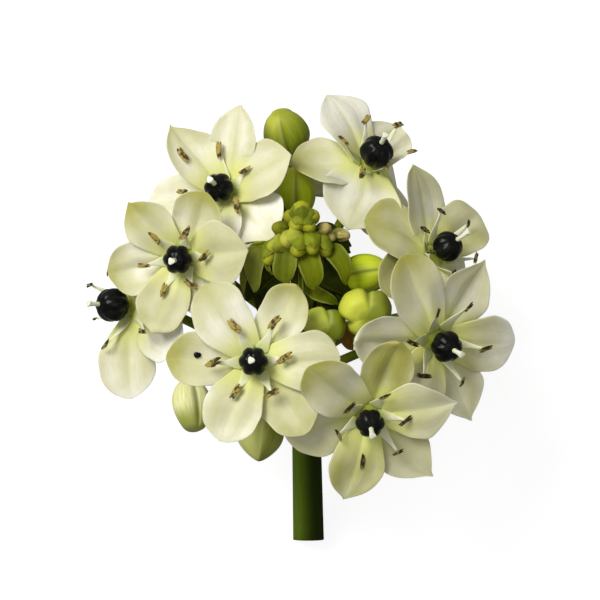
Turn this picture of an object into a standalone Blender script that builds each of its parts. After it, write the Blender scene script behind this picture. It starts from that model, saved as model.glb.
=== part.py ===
"""A cut head of Arabian star of Bethlehem, lying on a flat surface.

The stem points along -Y and rests on its cut end. The head rests on the lower tepals of the
three blooms under it. Seen from above, +X is to the right and +Y is towards the top of the head.
Tables are in millimetres as seen from above, and everything that is built is in metres.
"""

import math
import random
from dataclasses import dataclass

import bmesh
import bpy
from mathutils import Matrix, Vector

MM = 0.001
UP = Vector((0, 0, 1))

# The point of the tables that becomes the origin, under the middle of the whole flower.
PLAN_CENTRE = Vector((-0.32, -5.55, 0.00))
SEAT_GAP = 0.3
LEAF_THICKNESS = 0.7

# Scape and rachis, from the cut end to the crown.
STEM_RADIUS = 4.2
RACHIS_TOP_RADIUS = 3.0
RACHIS = ((2.3, -65.6, 2.8), (1.8, -40.0, 17.5), (1.2, -15.0, 33.0), (0.9, 1.0, 43.5), (0.4, 10.5, 50.0))
STEM_SIDES = 12
STEM_RINGS = 9
PEDICEL_RADIUS = 1.3
PEDICEL_STEPS = 4
PEDICEL_SIDES = 5

# Parts of one bloom, measured from the point where its tepals meet.
RECEPTACLE_DEPTH = 2.4
RECEPTACLE_TOP = 0.5
RECEPTACLE_RADIUS = 3.4
TEPAL_ROOT = 2.3
TEPAL_ROOT_HEIGHTS = (0.0, -1.1)
TEPAL_WIDTHS = (15.0, 12.5)
TEPAL_CUP = 1.3
TEPAL_ARCHES = (0.09, 0.03)
OVARY_RADIUS = 4.0
OVARY_HEIGHT = 8.2
OVARY_GROOVE = 0.10
STYLE_LENGTH = 3.8
STYLE_RADIUS = 0.75
FILAMENT_FOOT = 2.6
FILAMENT_REACH = 9.0
FILAMENT_RISE = 6.6
ANTHER_LENGTH = 4.2
ANTHER_WIDTH = 1.6

# Stations along a leaf: how far along, how wide and how cupped it is there, all as shares.
TEPAL_OUTLINE = ((0, 0.22, 0), (0.28, 0.66, 0.3), (0.58, 1.0, 1), (0.85, 0.74, 0.8), (1, 0.07, 0))
BRACT_OUTLINE = ((0, 0.50, 0), (0.45, 1.0, 1), (0.80, 0.80, 0.7), (1, 0.22, 0))
BRACT_CUP = 0.9

# The short core that the young buds and bracts of the crown stand out of.
CROWN_LENGTH = 11.0
CROWN_WIDTH = 10.0

COLOURS = {
    "stem_green": ((0.10, 0.22, 0.02), 0.45),
    "bud_green": ((0.36, 0.50, 0.08), 0.45),
    "tepal_white": ((0.86, 0.87, 0.72), 0.55),
    "ovary_black": ((0.008, 0.010, 0.010), 0.18),
    "style_cream": ((0.88, 0.88, 0.74), 0.50),
}


@dataclass(frozen=True)
class Bloom:
    """An open flower: where its tepals meet, where it faces and how far up the rachis its stalk starts.

    Each tepal is its turn and lift in degrees and its length. The first, third and fifth are the wide ones.
    """

    name: str
    seat: tuple
    facing: tuple
    foot: float
    tepals: tuple
    twist: tuple = (0, 0, 0, 0, 0, 0)


@dataclass(frozen=True)
class Bud:
    """A closed flower: its middle, where its tip points, its length, its width and its stalk's start."""

    name: str
    middle: tuple
    facing: tuple
    length: float
    width: float
    foot: float
    groove: float = 0.14
    roll: float = 0


@dataclass(frozen=True)
class Bract:
    """A small leaf that curves from its root over a bend to its tip."""

    root: tuple
    bend: tuple
    tip: tuple
    width: float


def even_tepals(length):
    """Six tepals of one length, evenly spread, the wide ones standing a little higher."""
    return tuple((60 - 60 * k, 2 if k % 2 else 8, length) for k in range(6))


BLOOMS = (
    Bloom("upper_left", (-19.7, 28.1, 42.0), (-0.42, 0.36, 0.83), 62,
          ((124, 25, 23.2), (72, 15, 23.3), (17, 12, 22.0),
           (-54, 3, 21.3), (-98, 10, 19.0), (179, 3, 21.6)),
          (30, 0, 0, 0, 0, 0)),
    Bloom("left", (-30.7, 10.9, 51.5), (-0.30, -0.12, 0.95), 52,
          ((134, 9, 19.9), (67, 8, 18.8), (9, 11, 19.6),
           (-43, 8, 18.1), (-109, 12, 20.6), (-167, 8, 19.8))),
    Bloom("front", (-11.5, -15.9, 67.2), (-0.10, 0.08, 0.99), 34,
          ((124, 9, 23.3), (61, 4, 22.4), (2, 7, 21.8),
           (-56, 3, 22.4), (-112, 12, 22.0), (177, 3, 22.4))),
    Bloom("lower_right", (17.6, -29.5, 65.6), (0.06, -0.40, 0.91), 24,
          ((135, 12, 22.6), (70, 2, 22.2), (12, 10, 22.6),
           (-46, 5, 23.1), (-107, 12, 22.7), (-168, 4, 21.6))),
    Bloom("right", (35.4, -10.7, 55.9), (0.46, -0.25, 0.85), 40,
          ((112, -2, 25.4), (54, -1, 23.9), (-6, 8, 21.7),
           (-68, 7, 23.4), (-124, 12, 19.2), (173, -4, 23.7))),
    Bloom("upper_right", (35.3, 11.7, 45.0), (0.64, 0.45, 0.62), 58,
          ((55, 18, 21.1), (119, 13, 24.3), (174, -6, 21.8),
           (-133, -12, 21.3), (-85, 10, 16.0), (8, -20, 19.0))),
    Bloom("top", (18.5, 35.8, 40.0), (0.36, 0.68, 0.64), 70,
          ((133, 16, 21.8), (64, 9, 21.1), (12, -42, 20.0),
           (-52, -45, 17.0), (-101, -19, 21.0), (-168, -8, 22.0))),
    Bloom("far_left", (-44.8, -1.6, 37.5), (-0.80, 0.05, 0.60), 36,
          ((-91, -2, 24.0), (-27, -8, 21.2), (32, -30, 18.0),
           (98, -35, 19.0), (150, -50, 21.0), (-148, -50, 21.0)),
          (-45, 0, 0, 0, 0, 0)),
    Bloom("under_left", (-25.0, 17.0, 16.0), (-0.93, 0.25, -0.27), 46, even_tepals(20.0)),
    Bloom("under_right", (30.0, -4.0, 15.0), (0.93, 0.20, -0.30), 42, even_tepals(20.0)),
    Bloom("under_top", (-1.5, 32.0, 12.6), (0.0, 0.93, -0.36), 56, even_tepals(17.5)),
)

BUDS = (
    Bud("top", (-3.8, 44.2, 33.0), (-0.25, 0.80, 0.55), 14.5, 12.4, 74, roll=20),
    Bud("upper", (-1.2, 28.0, 39.0), (0.0, 0.90, 0.43), 15.5, 10.2, 66),
    Bud("inner_right", (16.9, 7.2, 47.5), (0.92, 0.15, 0.36), 14.0, 10.0, 64),
    Bud("right_knot", (17.0, -3.8, 57.6), (0.05, -0.25, 0.96), 13.0, 14.0, 54, 0.30, 10),
    Bud("left_knot", (6.3, -7.6, 57.0), (0.15, -0.30, 0.94), 12.0, 11.8, 48, 0.34, 100),
    Bud("lower_left", (-28.4, -27.5, 45.0), (0.15, -0.92, 0.36), 15.0, 10.0, 44),
    Bud("lower", (-10.2, -35.2, 44.0), (-0.08, -0.95, 0.30), 14.5, 12.2, 38),
)

# Young buds of the crown: the middle, where the tip points, the length and the width.
YOUNG_BUDS = (
    ((-1.4, 16.4, 58.6), (-0.35, -0.30, 0.88), 8.0, 7.0),
    ((3.2, 15.8, 58.2), (0.40, -0.30, 0.86), 8.0, 6.4),
    ((-6.8, 12.8, 56.0), (-0.70, -0.25, 0.65), 8.5, 6.2),
    ((0.2, 21.4, 55.5), (0.00, 0.70, 0.72), 9.0, 8.6),
    ((7.2, 16.4, 54.8), (0.80, 0.10, 0.58), 8.0, 5.6),
    ((-5.0, 18.0, 55.5), (-0.65, 0.35, 0.66), 8.0, 6.0),
    ((5.6, 20.0, 53.5), (0.65, 0.60, 0.47), 8.5, 5.6),
    ((0.6, 12.0, 57.0), (0.05, -0.80, 0.58), 7.0, 5.6),
    ((0.0, 20.0, 50.0), (0.00, 0.95, 0.10), 8.5, 6.4),
)

CROWN_BRACTS = (
    Bract((-2.0, 14.0, 56.5), (-4.0, 10.5, 62.0), (-3.0, 4.0, 57.5), 7.6),
    Bract((2.4, 13.0, 56.0), (3.4, 9.5, 61.0), (3.6, 2.6, 56.5), 7.6),
    Bract((-4.0, 12.0, 53.5), (-12.5, 12.5, 54.5), (-13.0, 0.5, 53.0), 6.6),
    Bract((4.0, 13.0, 54.5), (10.5, 15.0, 58.0), (12.2, 4.0, 55.5), 7.0),
    Bract((-2.0, 14.0, 53.5), (-13.0, 14.0, 52.5), (-20.0, 6.6, 50.0), 4.4),
    Bract((4.0, 16.5, 53.5), (8.0, 20.5, 56.0), (12.0, 17.6, 53.5), 4.4),
    Bract((1.2, 12.5, 54.0), (4.5, 3.5, 55.5), (10.6, -0.5, 52.0), 6.0),
    Bract((3.0, 13.0, 52.5), (9.0, 6.0, 53.5), (14.6, -1.0, 50.6), 7.4),
    Bract((-2.4, 13.5, 52.5), (-7.0, 9.0, 52.5), (-9.4, 1.0, 49.2), 8.0),
)

# The small withered bract under each stalk: how far it reaches and how far it stands off the stalk.
STALK_BRACT_REACH = 9.0
STALK_BRACT_DROP = 2.6
STALK_BRACT_WIDTH = 4.2


def plan(point):
    """A point of the tables as a point of the model."""
    return (Vector(point) - PLAN_CENTRE) * MM


def frame_of(facing):
    """A unit axis and two unit vectors across it, the first as near +X as it can be."""
    axis = Vector(facing).normalized()
    first = (Vector((1, 0, 0)) - axis.x * axis).normalized()
    return first, axis.cross(first), axis


def placed(seat, facing):
    """The matrix that carries a shape made about +Z, in millimetres, to its seat and facing."""
    turn = Matrix(frame_of(facing)).transposed().to_4x4()
    return Matrix.Translation(plan(seat)) @ turn @ Matrix.Scale(MM, 4)


def bezier(corners, share):
    """The point at a share of the way along a cubic curve."""
    rest = 1 - share
    a, b, c, d = corners
    return a * rest**3 + b * 3 * rest**2 * share + c * 3 * rest * share**2 + d * share**3


def rachis_point(share):
    """The point at a share of the way up the stem, in millimetres, on a smooth curve."""
    spans = len(RACHIS) - 1
    index = min(int(share * spans), spans - 1)
    part = share * spans - index
    before, start, end, after = (Vector(RACHIS[min(max(index + k, 0), spans)]) for k in (-1, 0, 1, 2))
    square, cube = part**2, part**3
    pull_in, pull_out = (end - before) / 2, (after - start) / 2
    eased = start * (2 * cube - 3 * square + 1) + end * (3 * square - 2 * cube)
    return eased + pull_in * (cube - 2 * square + part) + pull_out * (cube - square)


def rachis_way(share):
    """The direction of the stem at a share of the way up it."""
    return (rachis_point(min(share + 0.01, 1)) - rachis_point(max(share - 0.01, 0))).normalized()


def material(name):
    """The named colour of the flower as a material."""
    made = bpy.data.materials.get(name)
    if made is None:
        colour, roughness = COLOURS[name]
        made = bpy.data.materials.new(name)
        made.use_nodes = True
        shader = made.node_tree.nodes["Principled BSDF"]
        shader.inputs["Base Color"].default_value = (*colour, 1)
        shader.inputs["Roughness"].default_value = roughness
    return made


def object_of(name, bm):
    """A scene object that holds the mesh, with its faces pointing out."""
    bmesh.ops.recalc_face_normals(bm, faces=bm.faces[:])
    mesh = bpy.data.meshes.new(name)
    bm.to_mesh(mesh)
    bm.free()
    made = bpy.data.objects.new(name, mesh)
    bpy.context.scene.collection.objects.link(made)
    return made


def finished(made, colour, matrix=None):
    """The object with its material and smooth shading, and its mesh carried to its place."""
    if matrix is not None:
        made.data.transform(matrix)
    made.data.materials.clear()
    made.data.materials.append(material(colour))
    made.data.shade_smooth()
    return made


def fused(core, repeats):
    """The core with its repeats joined on by one Boolean union."""
    collection = bpy.data.collections.new(core.name + "_repeats")
    bpy.context.scene.collection.children.link(collection)
    for piece in repeats:
        bpy.context.scene.collection.objects.unlink(piece)
        collection.objects.link(piece)
    union = core.modifiers.new("fuse", "BOOLEAN")
    union.operation = "UNION"
    union.operand_type = "COLLECTION"
    union.collection = collection
    union.solver = "EXACT"
    graph = bpy.context.evaluated_depsgraph_get()
    joined = bpy.data.meshes.new_from_object(core.evaluated_get(graph))
    core.modifiers.clear()
    core.data = joined
    for piece in repeats:
        bpy.data.objects.remove(piece)
    bpy.data.collections.remove(collection)
    return core


def rested(made):
    """The object cut level with the surface that it lies on, where it would pass under it."""
    bm = bmesh.new()
    bm.from_mesh(made.data)
    cut = bmesh.ops.bisect_plane(bm, geom=bm.verts[:] + bm.edges[:] + bm.faces[:], plane_co=(0, 0, 0),
                                 plane_no=(0, 0, 1), clear_inner=True)
    rim = [item for item in cut["geom_cut"] if isinstance(item, bmesh.types.BMEdge)]
    bmesh.ops.holes_fill(bm, edges=rim)
    bmesh.ops.triangulate(bm, faces=bm.faces[:])
    bm.to_mesh(made.data)
    bm.free()
    return made


def lofted(name, rings):
    """A closed body through rings of equally many points, with a flat cap on each end."""
    bm = bmesh.new()
    loops = [[bm.verts.new(point) for point in ring] for ring in rings]
    for before, after in zip(loops, loops[1:]):
        for k in range(len(before)):
            after_k = (k + 1) % len(before)
            bm.faces.new((before[k], before[after_k], after[after_k], after[k]))
    bm.faces.new(loops[0][::-1])
    bm.faces.new(loops[-1])
    bmesh.ops.triangulate(bm, faces=bm.faces[:])
    return object_of(name, bm)


def around(centre, first, second, radius, sides):
    """The points of a round ring."""
    turns = [2 * math.pi * k / sides for k in range(sides)]
    return [centre + (first * math.cos(turn) + second * math.sin(turn)) * radius for turn in turns]


def tube(name, centres, ways, radii, sides):
    """A round stalk along the centres, with a direction and a radius for each."""
    rings = []
    for centre, way, radius in zip(centres, ways, radii):
        first, second, _ = frame_of(way)
        rings.append(around(centre, first, second, radius, sides))
    return lofted(name, rings)


def lobed(name, length, width, lobes, groove, rings, sides):
    """A closed round body about +Z with lobes, from its foot at 0 to its tip."""
    loops = []
    for k in range(rings + 1):
        belly = math.sin(math.pi * (0.04 + 0.92 * k / rings)) ** 0.6
        ring = around(Vector((0, 0, length * k / rings)), Vector((1, 0, 0)), Vector((0, 1, 0)), 1, sides)
        for i, point in enumerate(ring):
            lobe = 1 - groove * (0.5 - 0.5 * math.cos(lobes * 2 * math.pi * i / sides))
            point.xy *= width / 2 * belly * lobe
        loops.append(ring)
    return lofted(name, loops)


def blade(name, spine, spread, outline, width, cup, carry):
    """A thin leaf along spine(share), as wide and as cupped as its outline, carried to its place."""
    steps = len(outline) - 1
    bm = bmesh.new()
    grid = bmesh.ops.create_grid(bm, x_segments=steps, y_segments=2, size=1)
    for vert in grid["verts"]:
        side = vert.co.y
        share, wide, deep = outline[round((vert.co.x + 1) / 2 * steps)]
        ahead = (spine(min(share + 0.01, 1)) - spine(max(share - 0.01, 0))).normalized()
        across = spread(share, ahead)
        rise = ahead.cross(across).normalized() * (cup * deep * side**2)
        vert.co = carry @ (spine(share) + across * (width / 2 * wide * side) + rise)
    bmesh.ops.triangulate(bm, faces=bm.faces[:])
    bm.normal_update()
    for vert in bm.verts:
        vert.co += vert.normal * (LEAF_THICKNESS * MM / 2)
    bmesh.ops.solidify(bm, geom=bm.faces[:], thickness=LEAF_THICKNESS * MM)
    return object_of(name, bm)


def tepal(bloom, index, carry):
    """One tepal of a bloom."""
    turn, lift, length = bloom.tepals[index]
    turn, lift = math.radians(turn), math.radians(lift)
    outer = index % 2
    outward = Vector((math.cos(turn), math.sin(turn), 0))
    root = outward * TEPAL_ROOT + UP * TEPAL_ROOT_HEIGHTS[outer]
    tip = (outward * math.cos(lift) + UP * math.sin(lift)) * length
    arch = UP * length * TEPAL_ARCHES[outer]
    corners = (root, root.lerp(tip, 0.33) + arch, root.lerp(tip, 0.67) + arch, tip)

    def spread(share, ahead):
        lean = math.radians(bloom.twist[index]) * min(1, share * 2)
        return Matrix.Rotation(lean, 3, ahead) @ UP.cross(outward)

    return blade(f"tepal_{index}", lambda share: bezier(corners, share), spread, TEPAL_OUTLINE,
                 TEPAL_WIDTHS[outer], TEPAL_CUP, carry)


def bract(item, across=UP):
    """One bract, flat across its own direction and the given one."""
    root, bend, tip = (Vector(corner) for corner in (item.root, item.bend, item.tip))
    corners = (root, root.lerp(bend, 0.67), tip.lerp(bend, 0.67), tip)
    across = (tip - root).cross(across).normalized()
    carry = Matrix.Scale(MM, 4) @ Matrix.Translation(-PLAN_CENTRE)
    return blade("bract", lambda share: bezier(corners, share), lambda share, ahead: across, BRACT_OUTLINE,
                 item.width, -BRACT_CUP, carry)


def stamen(bloom, index, draw):
    """A flat filament with its anther across the end, as two bodies that overlap."""
    turn = math.radians(bloom.tepals[index][0])
    outward = Vector((math.cos(turn), math.sin(turn), 0))
    side = UP.cross(outward)
    foot = outward * FILAMENT_FOOT
    reach, rise = FILAMENT_REACH + draw.uniform(-0.6, 0.6), FILAMENT_RISE + draw.uniform(-0.8, 0.8)
    end = outward * reach + UP * rise
    thick = (end - foot).normalized().cross(side) * 0.35
    rings = []
    for centre, half in ((foot, side * 1.2), (end, side * 0.4)):
        rings.append([centre + half + thick, centre - half + thick,
                      centre - half - thick, centre + half - thick])
    skew = Matrix.Rotation(math.radians(draw.uniform(-35, 35)), 3, "Z")
    along = (skew @ outward) * ANTHER_LENGTH / 2 + UP * draw.uniform(-0.5, 0.5)
    across = along.cross(UP).normalized() * ANTHER_WIDTH / 2
    high = UP * ANTHER_WIDTH / 2
    bm = bmesh.new()
    points = (end + along, end - along, end + across, end + high, end - across, end - high)
    ahead, behind, *belt = [bm.verts.new(point) for point in points]
    for k in range(4):
        bm.faces.new((ahead, belt[k], belt[(k + 1) % 4]))
        bm.faces.new((behind, belt[(k + 1) % 4], belt[k]))
    return [lofted(f"filament_{index}", rings), object_of(f"anther_{index}", bm)]


def receptacle(name):
    """The short cone under the tepals, with the flat top that the ovary stands over."""
    bm = bmesh.new()
    depth = RECEPTACLE_DEPTH + RECEPTACLE_TOP
    bmesh.ops.create_cone(bm, cap_ends=True, segments=9, radius1=PEDICEL_RADIUS + 0.3,
                          radius2=RECEPTACLE_RADIUS, depth=depth,
                          matrix=Matrix.Translation((0, 0, RECEPTACLE_TOP - depth / 2)))
    return object_of(name, bm)


def perianth(bloom, draw):
    """Six tepals and six stamens joined in one white body."""
    carry = placed(bloom.seat, bloom.facing)
    core = receptacle(f"bloom_{bloom.name}_perianth")
    stamens = [piece for k in range(6) for piece in stamen(bloom, k, draw)]
    for piece in [core, *stamens]:
        piece.data.transform(carry)
    joined = fused(core, [tepal(bloom, k, carry) for k in range(6)] + stamens)
    return finished(rested(joined), "tepal_white")


def pistil(bloom):
    """The black ovary over the receptacle, and the cream style on its tip."""
    foot = RECEPTACLE_TOP + SEAT_GAP
    carry = placed(bloom.seat, bloom.facing)
    ovary = lobed(f"bloom_{bloom.name}_ovary", OVARY_HEIGHT, 2 * OVARY_RADIUS, 6, OVARY_GROOVE, 4, 12)
    finished(ovary, "ovary_black", carry @ Matrix.Translation(UP * foot))
    centres = [UP * (foot + OVARY_HEIGHT + SEAT_GAP + STYLE_LENGTH * share) for share in (0, 1)]
    style = tube(f"bloom_{bloom.name}_style", centres, (UP, UP), (STYLE_RADIUS, STYLE_RADIUS * 0.85), 6)
    finished(style, "style_cream", carry)


def bud(item):
    """A closed green bud of three tepals, over the end of its stalk."""
    made = lobed(f"bud_{item.name}", item.length, item.width, 3, item.groove, 5, 12)
    foot = Matrix.Translation(UP * (-item.length / 2)) @ Matrix.Rotation(math.radians(item.roll), 4, "Z")
    return finished(made, "bud_green", placed(item.middle, item.facing) @ foot)


def crown():
    """The young buds and bracts at the top of the rachis, joined in one green body."""
    way = rachis_way(1)
    core = lobed("crown", CROWN_LENGTH, CROWN_WIDTH, 1, 0, 4, 8)
    core.data.transform(placed(rachis_point(1) + way * SEAT_GAP, way))
    repeats = [bract(item) for item in CROWN_BRACTS]
    for middle, facing, length, width in YOUNG_BUDS:
        young = lobed("young_bud", length, width, 3, 0.12, 3, 6)
        young.data.transform(placed(middle, facing) @ Matrix.Translation(UP * (-length / 2)))
        repeats.append(young)
    return finished(fused(core, repeats), "bud_green")


def rachis_length():
    """The length of the stem from its cut end to the crown, in millimetres."""
    points = [rachis_point(k / 20) for k in range(21)]
    return sum((after - before).length for before, after in zip(points, points[1:]))


def pedicel(name, foot, end, facing):
    """A stalk from a distance up the rachis, in millimetres, to a bloom or bud, and the bract under it."""
    share = foot / rachis_length()
    start, ahead = rachis_point(share), rachis_way(share)
    end, facing = Vector(end), Vector(facing).normalized()
    span = end - start
    outward = (span - span.dot(ahead) * ahead).normalized()
    leave = (ahead * 0.5 + outward * 0.9).normalized() * span.length * 0.35
    corners = (start, start + leave, end - facing * span.length * 0.35, end)
    shares = [k / PEDICEL_STEPS for k in range(PEDICEL_STEPS + 1)]
    centres = [bezier(corners, share) for share in shares]
    ways = [leave] + [after - before for before, after in zip(centres, centres[2:])] + [facing]
    radii = [PEDICEL_RADIUS * MM] * len(centres)
    stalk = tube(name, [plan(centre) for centre in centres], ways, radii, PEDICEL_SIDES)
    low = start - ahead * STALK_BRACT_DROP
    tip = low + (outward * 0.9 + ahead * 0.3).normalized() * STALK_BRACT_REACH
    scale = bract(Bract(start, low + outward * STALK_BRACT_REACH / 2, tip, STALK_BRACT_WIDTH), ahead)
    return [stalk, scale]


def scape():
    """The bare stem from its upright cut to the crown, worn flat where it rests."""
    shares = [k / STEM_RINGS for k in range(STEM_RINGS + 1)]
    centres = [plan(rachis_point(share)) for share in shares]
    ways = [Vector((0, 1, 0))] + [rachis_way(share) for share in shares[1:]]
    radii = [(STEM_RADIUS + (RACHIS_TOP_RADIUS - STEM_RADIUS) * share) * MM for share in shares]
    return rested(tube("stem", centres, ways, radii, STEM_SIDES))


def stem():
    """The scape and rachis with every stalk joined on, in one green body."""
    stalks = []
    for bloom in BLOOMS:
        end = Vector(bloom.seat) - Vector(bloom.facing).normalized() * (RECEPTACLE_DEPTH + SEAT_GAP)
        stalks += pedicel(f"stalk_{bloom.name}", bloom.foot, end, bloom.facing)
    for item in BUDS:
        end = Vector(item.middle) - Vector(item.facing).normalized() * (item.length / 2 + SEAT_GAP)
        stalks += pedicel(f"stalk_{item.name}", item.foot, end, item.facing)
    return finished(fused(scape(), stalks), "stem_green")


def main():
    """Builds the flower in an empty scene."""
    for item in list(bpy.data.objects):
        bpy.data.objects.remove(item)
    draw = random.Random(7)
    stem()
    crown()
    for item in BUDS:
        bud(item)
    for bloom in BLOOMS:
        perianth(bloom, draw)
        pistil(bloom)


if __name__ == "__main__":
    main()
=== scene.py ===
"""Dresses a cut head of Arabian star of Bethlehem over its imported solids.

Tables are in plan millimetres: X to the right and Y to the top of the picture, Z up from the floor that
the head lies on. A flower's own shapes are made about +Z in millimetres and then carried to its seat and
facing.
"""

import logging
import math
import random
from collections.abc import Callable, Iterator, Sequence
from contextlib import contextmanager
from dataclasses import dataclass
from enum import Enum

import bpy
import numpy as np
from mathutils import Matrix, Vector


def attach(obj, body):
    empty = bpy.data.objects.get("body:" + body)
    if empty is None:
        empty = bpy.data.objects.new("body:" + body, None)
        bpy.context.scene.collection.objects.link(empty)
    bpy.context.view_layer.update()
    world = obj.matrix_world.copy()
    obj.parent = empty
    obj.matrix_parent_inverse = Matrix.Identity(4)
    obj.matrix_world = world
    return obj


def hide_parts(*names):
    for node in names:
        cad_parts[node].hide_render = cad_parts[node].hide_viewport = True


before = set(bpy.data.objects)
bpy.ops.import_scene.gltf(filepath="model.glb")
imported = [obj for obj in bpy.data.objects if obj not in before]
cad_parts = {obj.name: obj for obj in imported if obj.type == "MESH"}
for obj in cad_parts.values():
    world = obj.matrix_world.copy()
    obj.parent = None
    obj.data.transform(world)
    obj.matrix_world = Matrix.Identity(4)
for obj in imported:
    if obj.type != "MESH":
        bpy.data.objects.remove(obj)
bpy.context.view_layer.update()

BODY = "root"
MM = 0.001
UP = np.array((0.0, 0.0, 1.0))
ACROSS = np.array((1.0, 0.0, 0.0))
# The point of the plan that lies at the frame's origin.
PLAN_CENTRE = np.array((-0.32, -5.55, 0.00))
# The height in millimetres under which a piece is pressed towards the floor.
PRESS = 0.8
# How far red, green and blue light spreads inside a tepal, in metres.
SPREAD = (0.0012, 0.0010, 0.0004)
RELIEF_STRENGTH = 0.6
# How many faces a bud has round it and from foot to tip.
BUD_FACES = (51, 26)
YOUNG_FACES = (30, 16)
WITHERED_FACES = (24, 14)
SEED = 23
ANTHER_SEED = 5
LOG = logging.getLogger("star_of_bethlehem")

Array = np.ndarray
Piece = bpy.types.Object
Node = bpy.types.Node
Socket = bpy.types.NodeSocket
Corner = tuple[float, float, float]
Colour = tuple[float, float, float]
Former = Callable[[Array, Array], Array]
Value = float | tuple | Socket
Pattern = tuple[Value, Value, Value]


class Tip(Enum):
    """How a tepal ends: how full its end is, how it closes, and its point's length in millimetres."""

    ROUND = (2.5, 0.50, 0.5)
    HOODED = (2.1, 0.55, 0.2)
    CORNER = (1.75, 0.78, 0.3)
    SHARP = (1.35, 0.88, 0.6)


@dataclass(frozen=True)
class TepalPlan:
    """Where one tepal points, in degrees, how long it is in millimetres, and how it ends.

    Its shade from white to olive, which paints the shade that falls on it together with its own greenish
    tint, its width against the usual, its twist in degrees, and how much that painted shade grows from foot
    to tip follow.
    """

    turn: float
    lift: float
    length: float
    tip: Tip = Tip.ROUND
    # shade paints the shade that falls on the tepal along with its greenish tint; fade makes it grow
    # towards the tip
    shade: float = 0.3
    width: float = 1.0
    twist: float = 0.0
    fade: float = 0.0


@dataclass(frozen=True)
class StamenPlan:
    """Where one stamen points, how far out and how high its anther is, and the anther's turn and size."""

    turn: float
    reach: float
    height: float
    spin: float
    size: float = 4.0


@dataclass(frozen=True)
class BloomPlan:
    """One open flower: its seat, the way it faces, its stalk's foot, its tepals and its stamens.

    How dry its anthers are, how swollen its ovary is, how long its style is and how far the two lean
    towards the viewer follow.
    """

    name: str
    seat: Corner
    facing: Corner
    foot: float
    tepals: tuple[TepalPlan, ...]
    stamens: tuple[StamenPlan, ...]
    dry: float = 0.5
    swell: float = 1.0
    style: float = 4.1
    lean: float = 0.0


@dataclass(frozen=True)
class BudPlan:
    """One closed bud: its middle, the way it points, its size and its stalk's foot.

    The depth of its grooves, its turn in degrees, how blunt it is, its painted shade (painted light below
    zero), the painted light and shade and the sizes of its three tepals, how far they puff up and how
    ridged they are follow.
    """

    name: str
    middle: Corner
    facing: Corner
    length: float
    width: float
    foot: float
    groove: float = 0.14
    roll: float = 0.0
    blunt: float = 0.55
    # dark is painted shade, painted light where below zero; the three values after it paint light and shade
    # on the three tepals.
    dark: float = 0.0
    lobe_light_and_shade: Corner = (0.0, 0.0, 0.0)
    sizes: Corner = (1.0, 1.0, 1.0)
    puff: float = 0.0
    ridges: float = 0.0


@dataclass(frozen=True)
class BractPlan:
    """One bract from its root over its bend to its tip, with its width, its painted light and the fullness
    of its end.

    The painted light makes a bract paler where it lies in shade.
    """

    root: Sequence[float]
    bend: Sequence[float]
    tip: Sequence[float]
    width: float
    # Painted light: how much paler the bract is made where it lies in shade.
    tone: float = 0.0
    full: float = 2.0


def ring_of_tepals(length: float) -> tuple[TepalPlan, ...]:
    """Plans six even tepals for a flower under the head.

    Args:
        length: The length of each tepal in millimetres.

    Returns:
        The six plans.
    """
    ends = (Tip.ROUND, Tip.CORNER, Tip.HOODED)
    return tuple(TepalPlan(60 - 60 * k, 2 if k % 2 else 8, length, ends[k % 3], 0.4) for k in range(6))


def ring_of_stamens(height: float) -> tuple[StamenPlan, ...]:
    """Plans six even stamens for a flower under the head.

    Args:
        height: The height of the anthers over the seat in millimetres.

    Returns:
        The six plans.
    """
    return tuple(StamenPlan(60 * k, 9.0 + 0.6 * (k % 3), height, 47.0 * k) for k in range(6))


def stamens(*rows: tuple[float, ...]) -> tuple[StamenPlan, ...]:
    """Plans the stamens of a flower from rows of turn, reach, height, spin and size."""
    return tuple(StamenPlan(*row) for row in rows)


# Each tepal's shade and fade paint the shade that falls on it, along with its own greenish tint.
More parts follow.
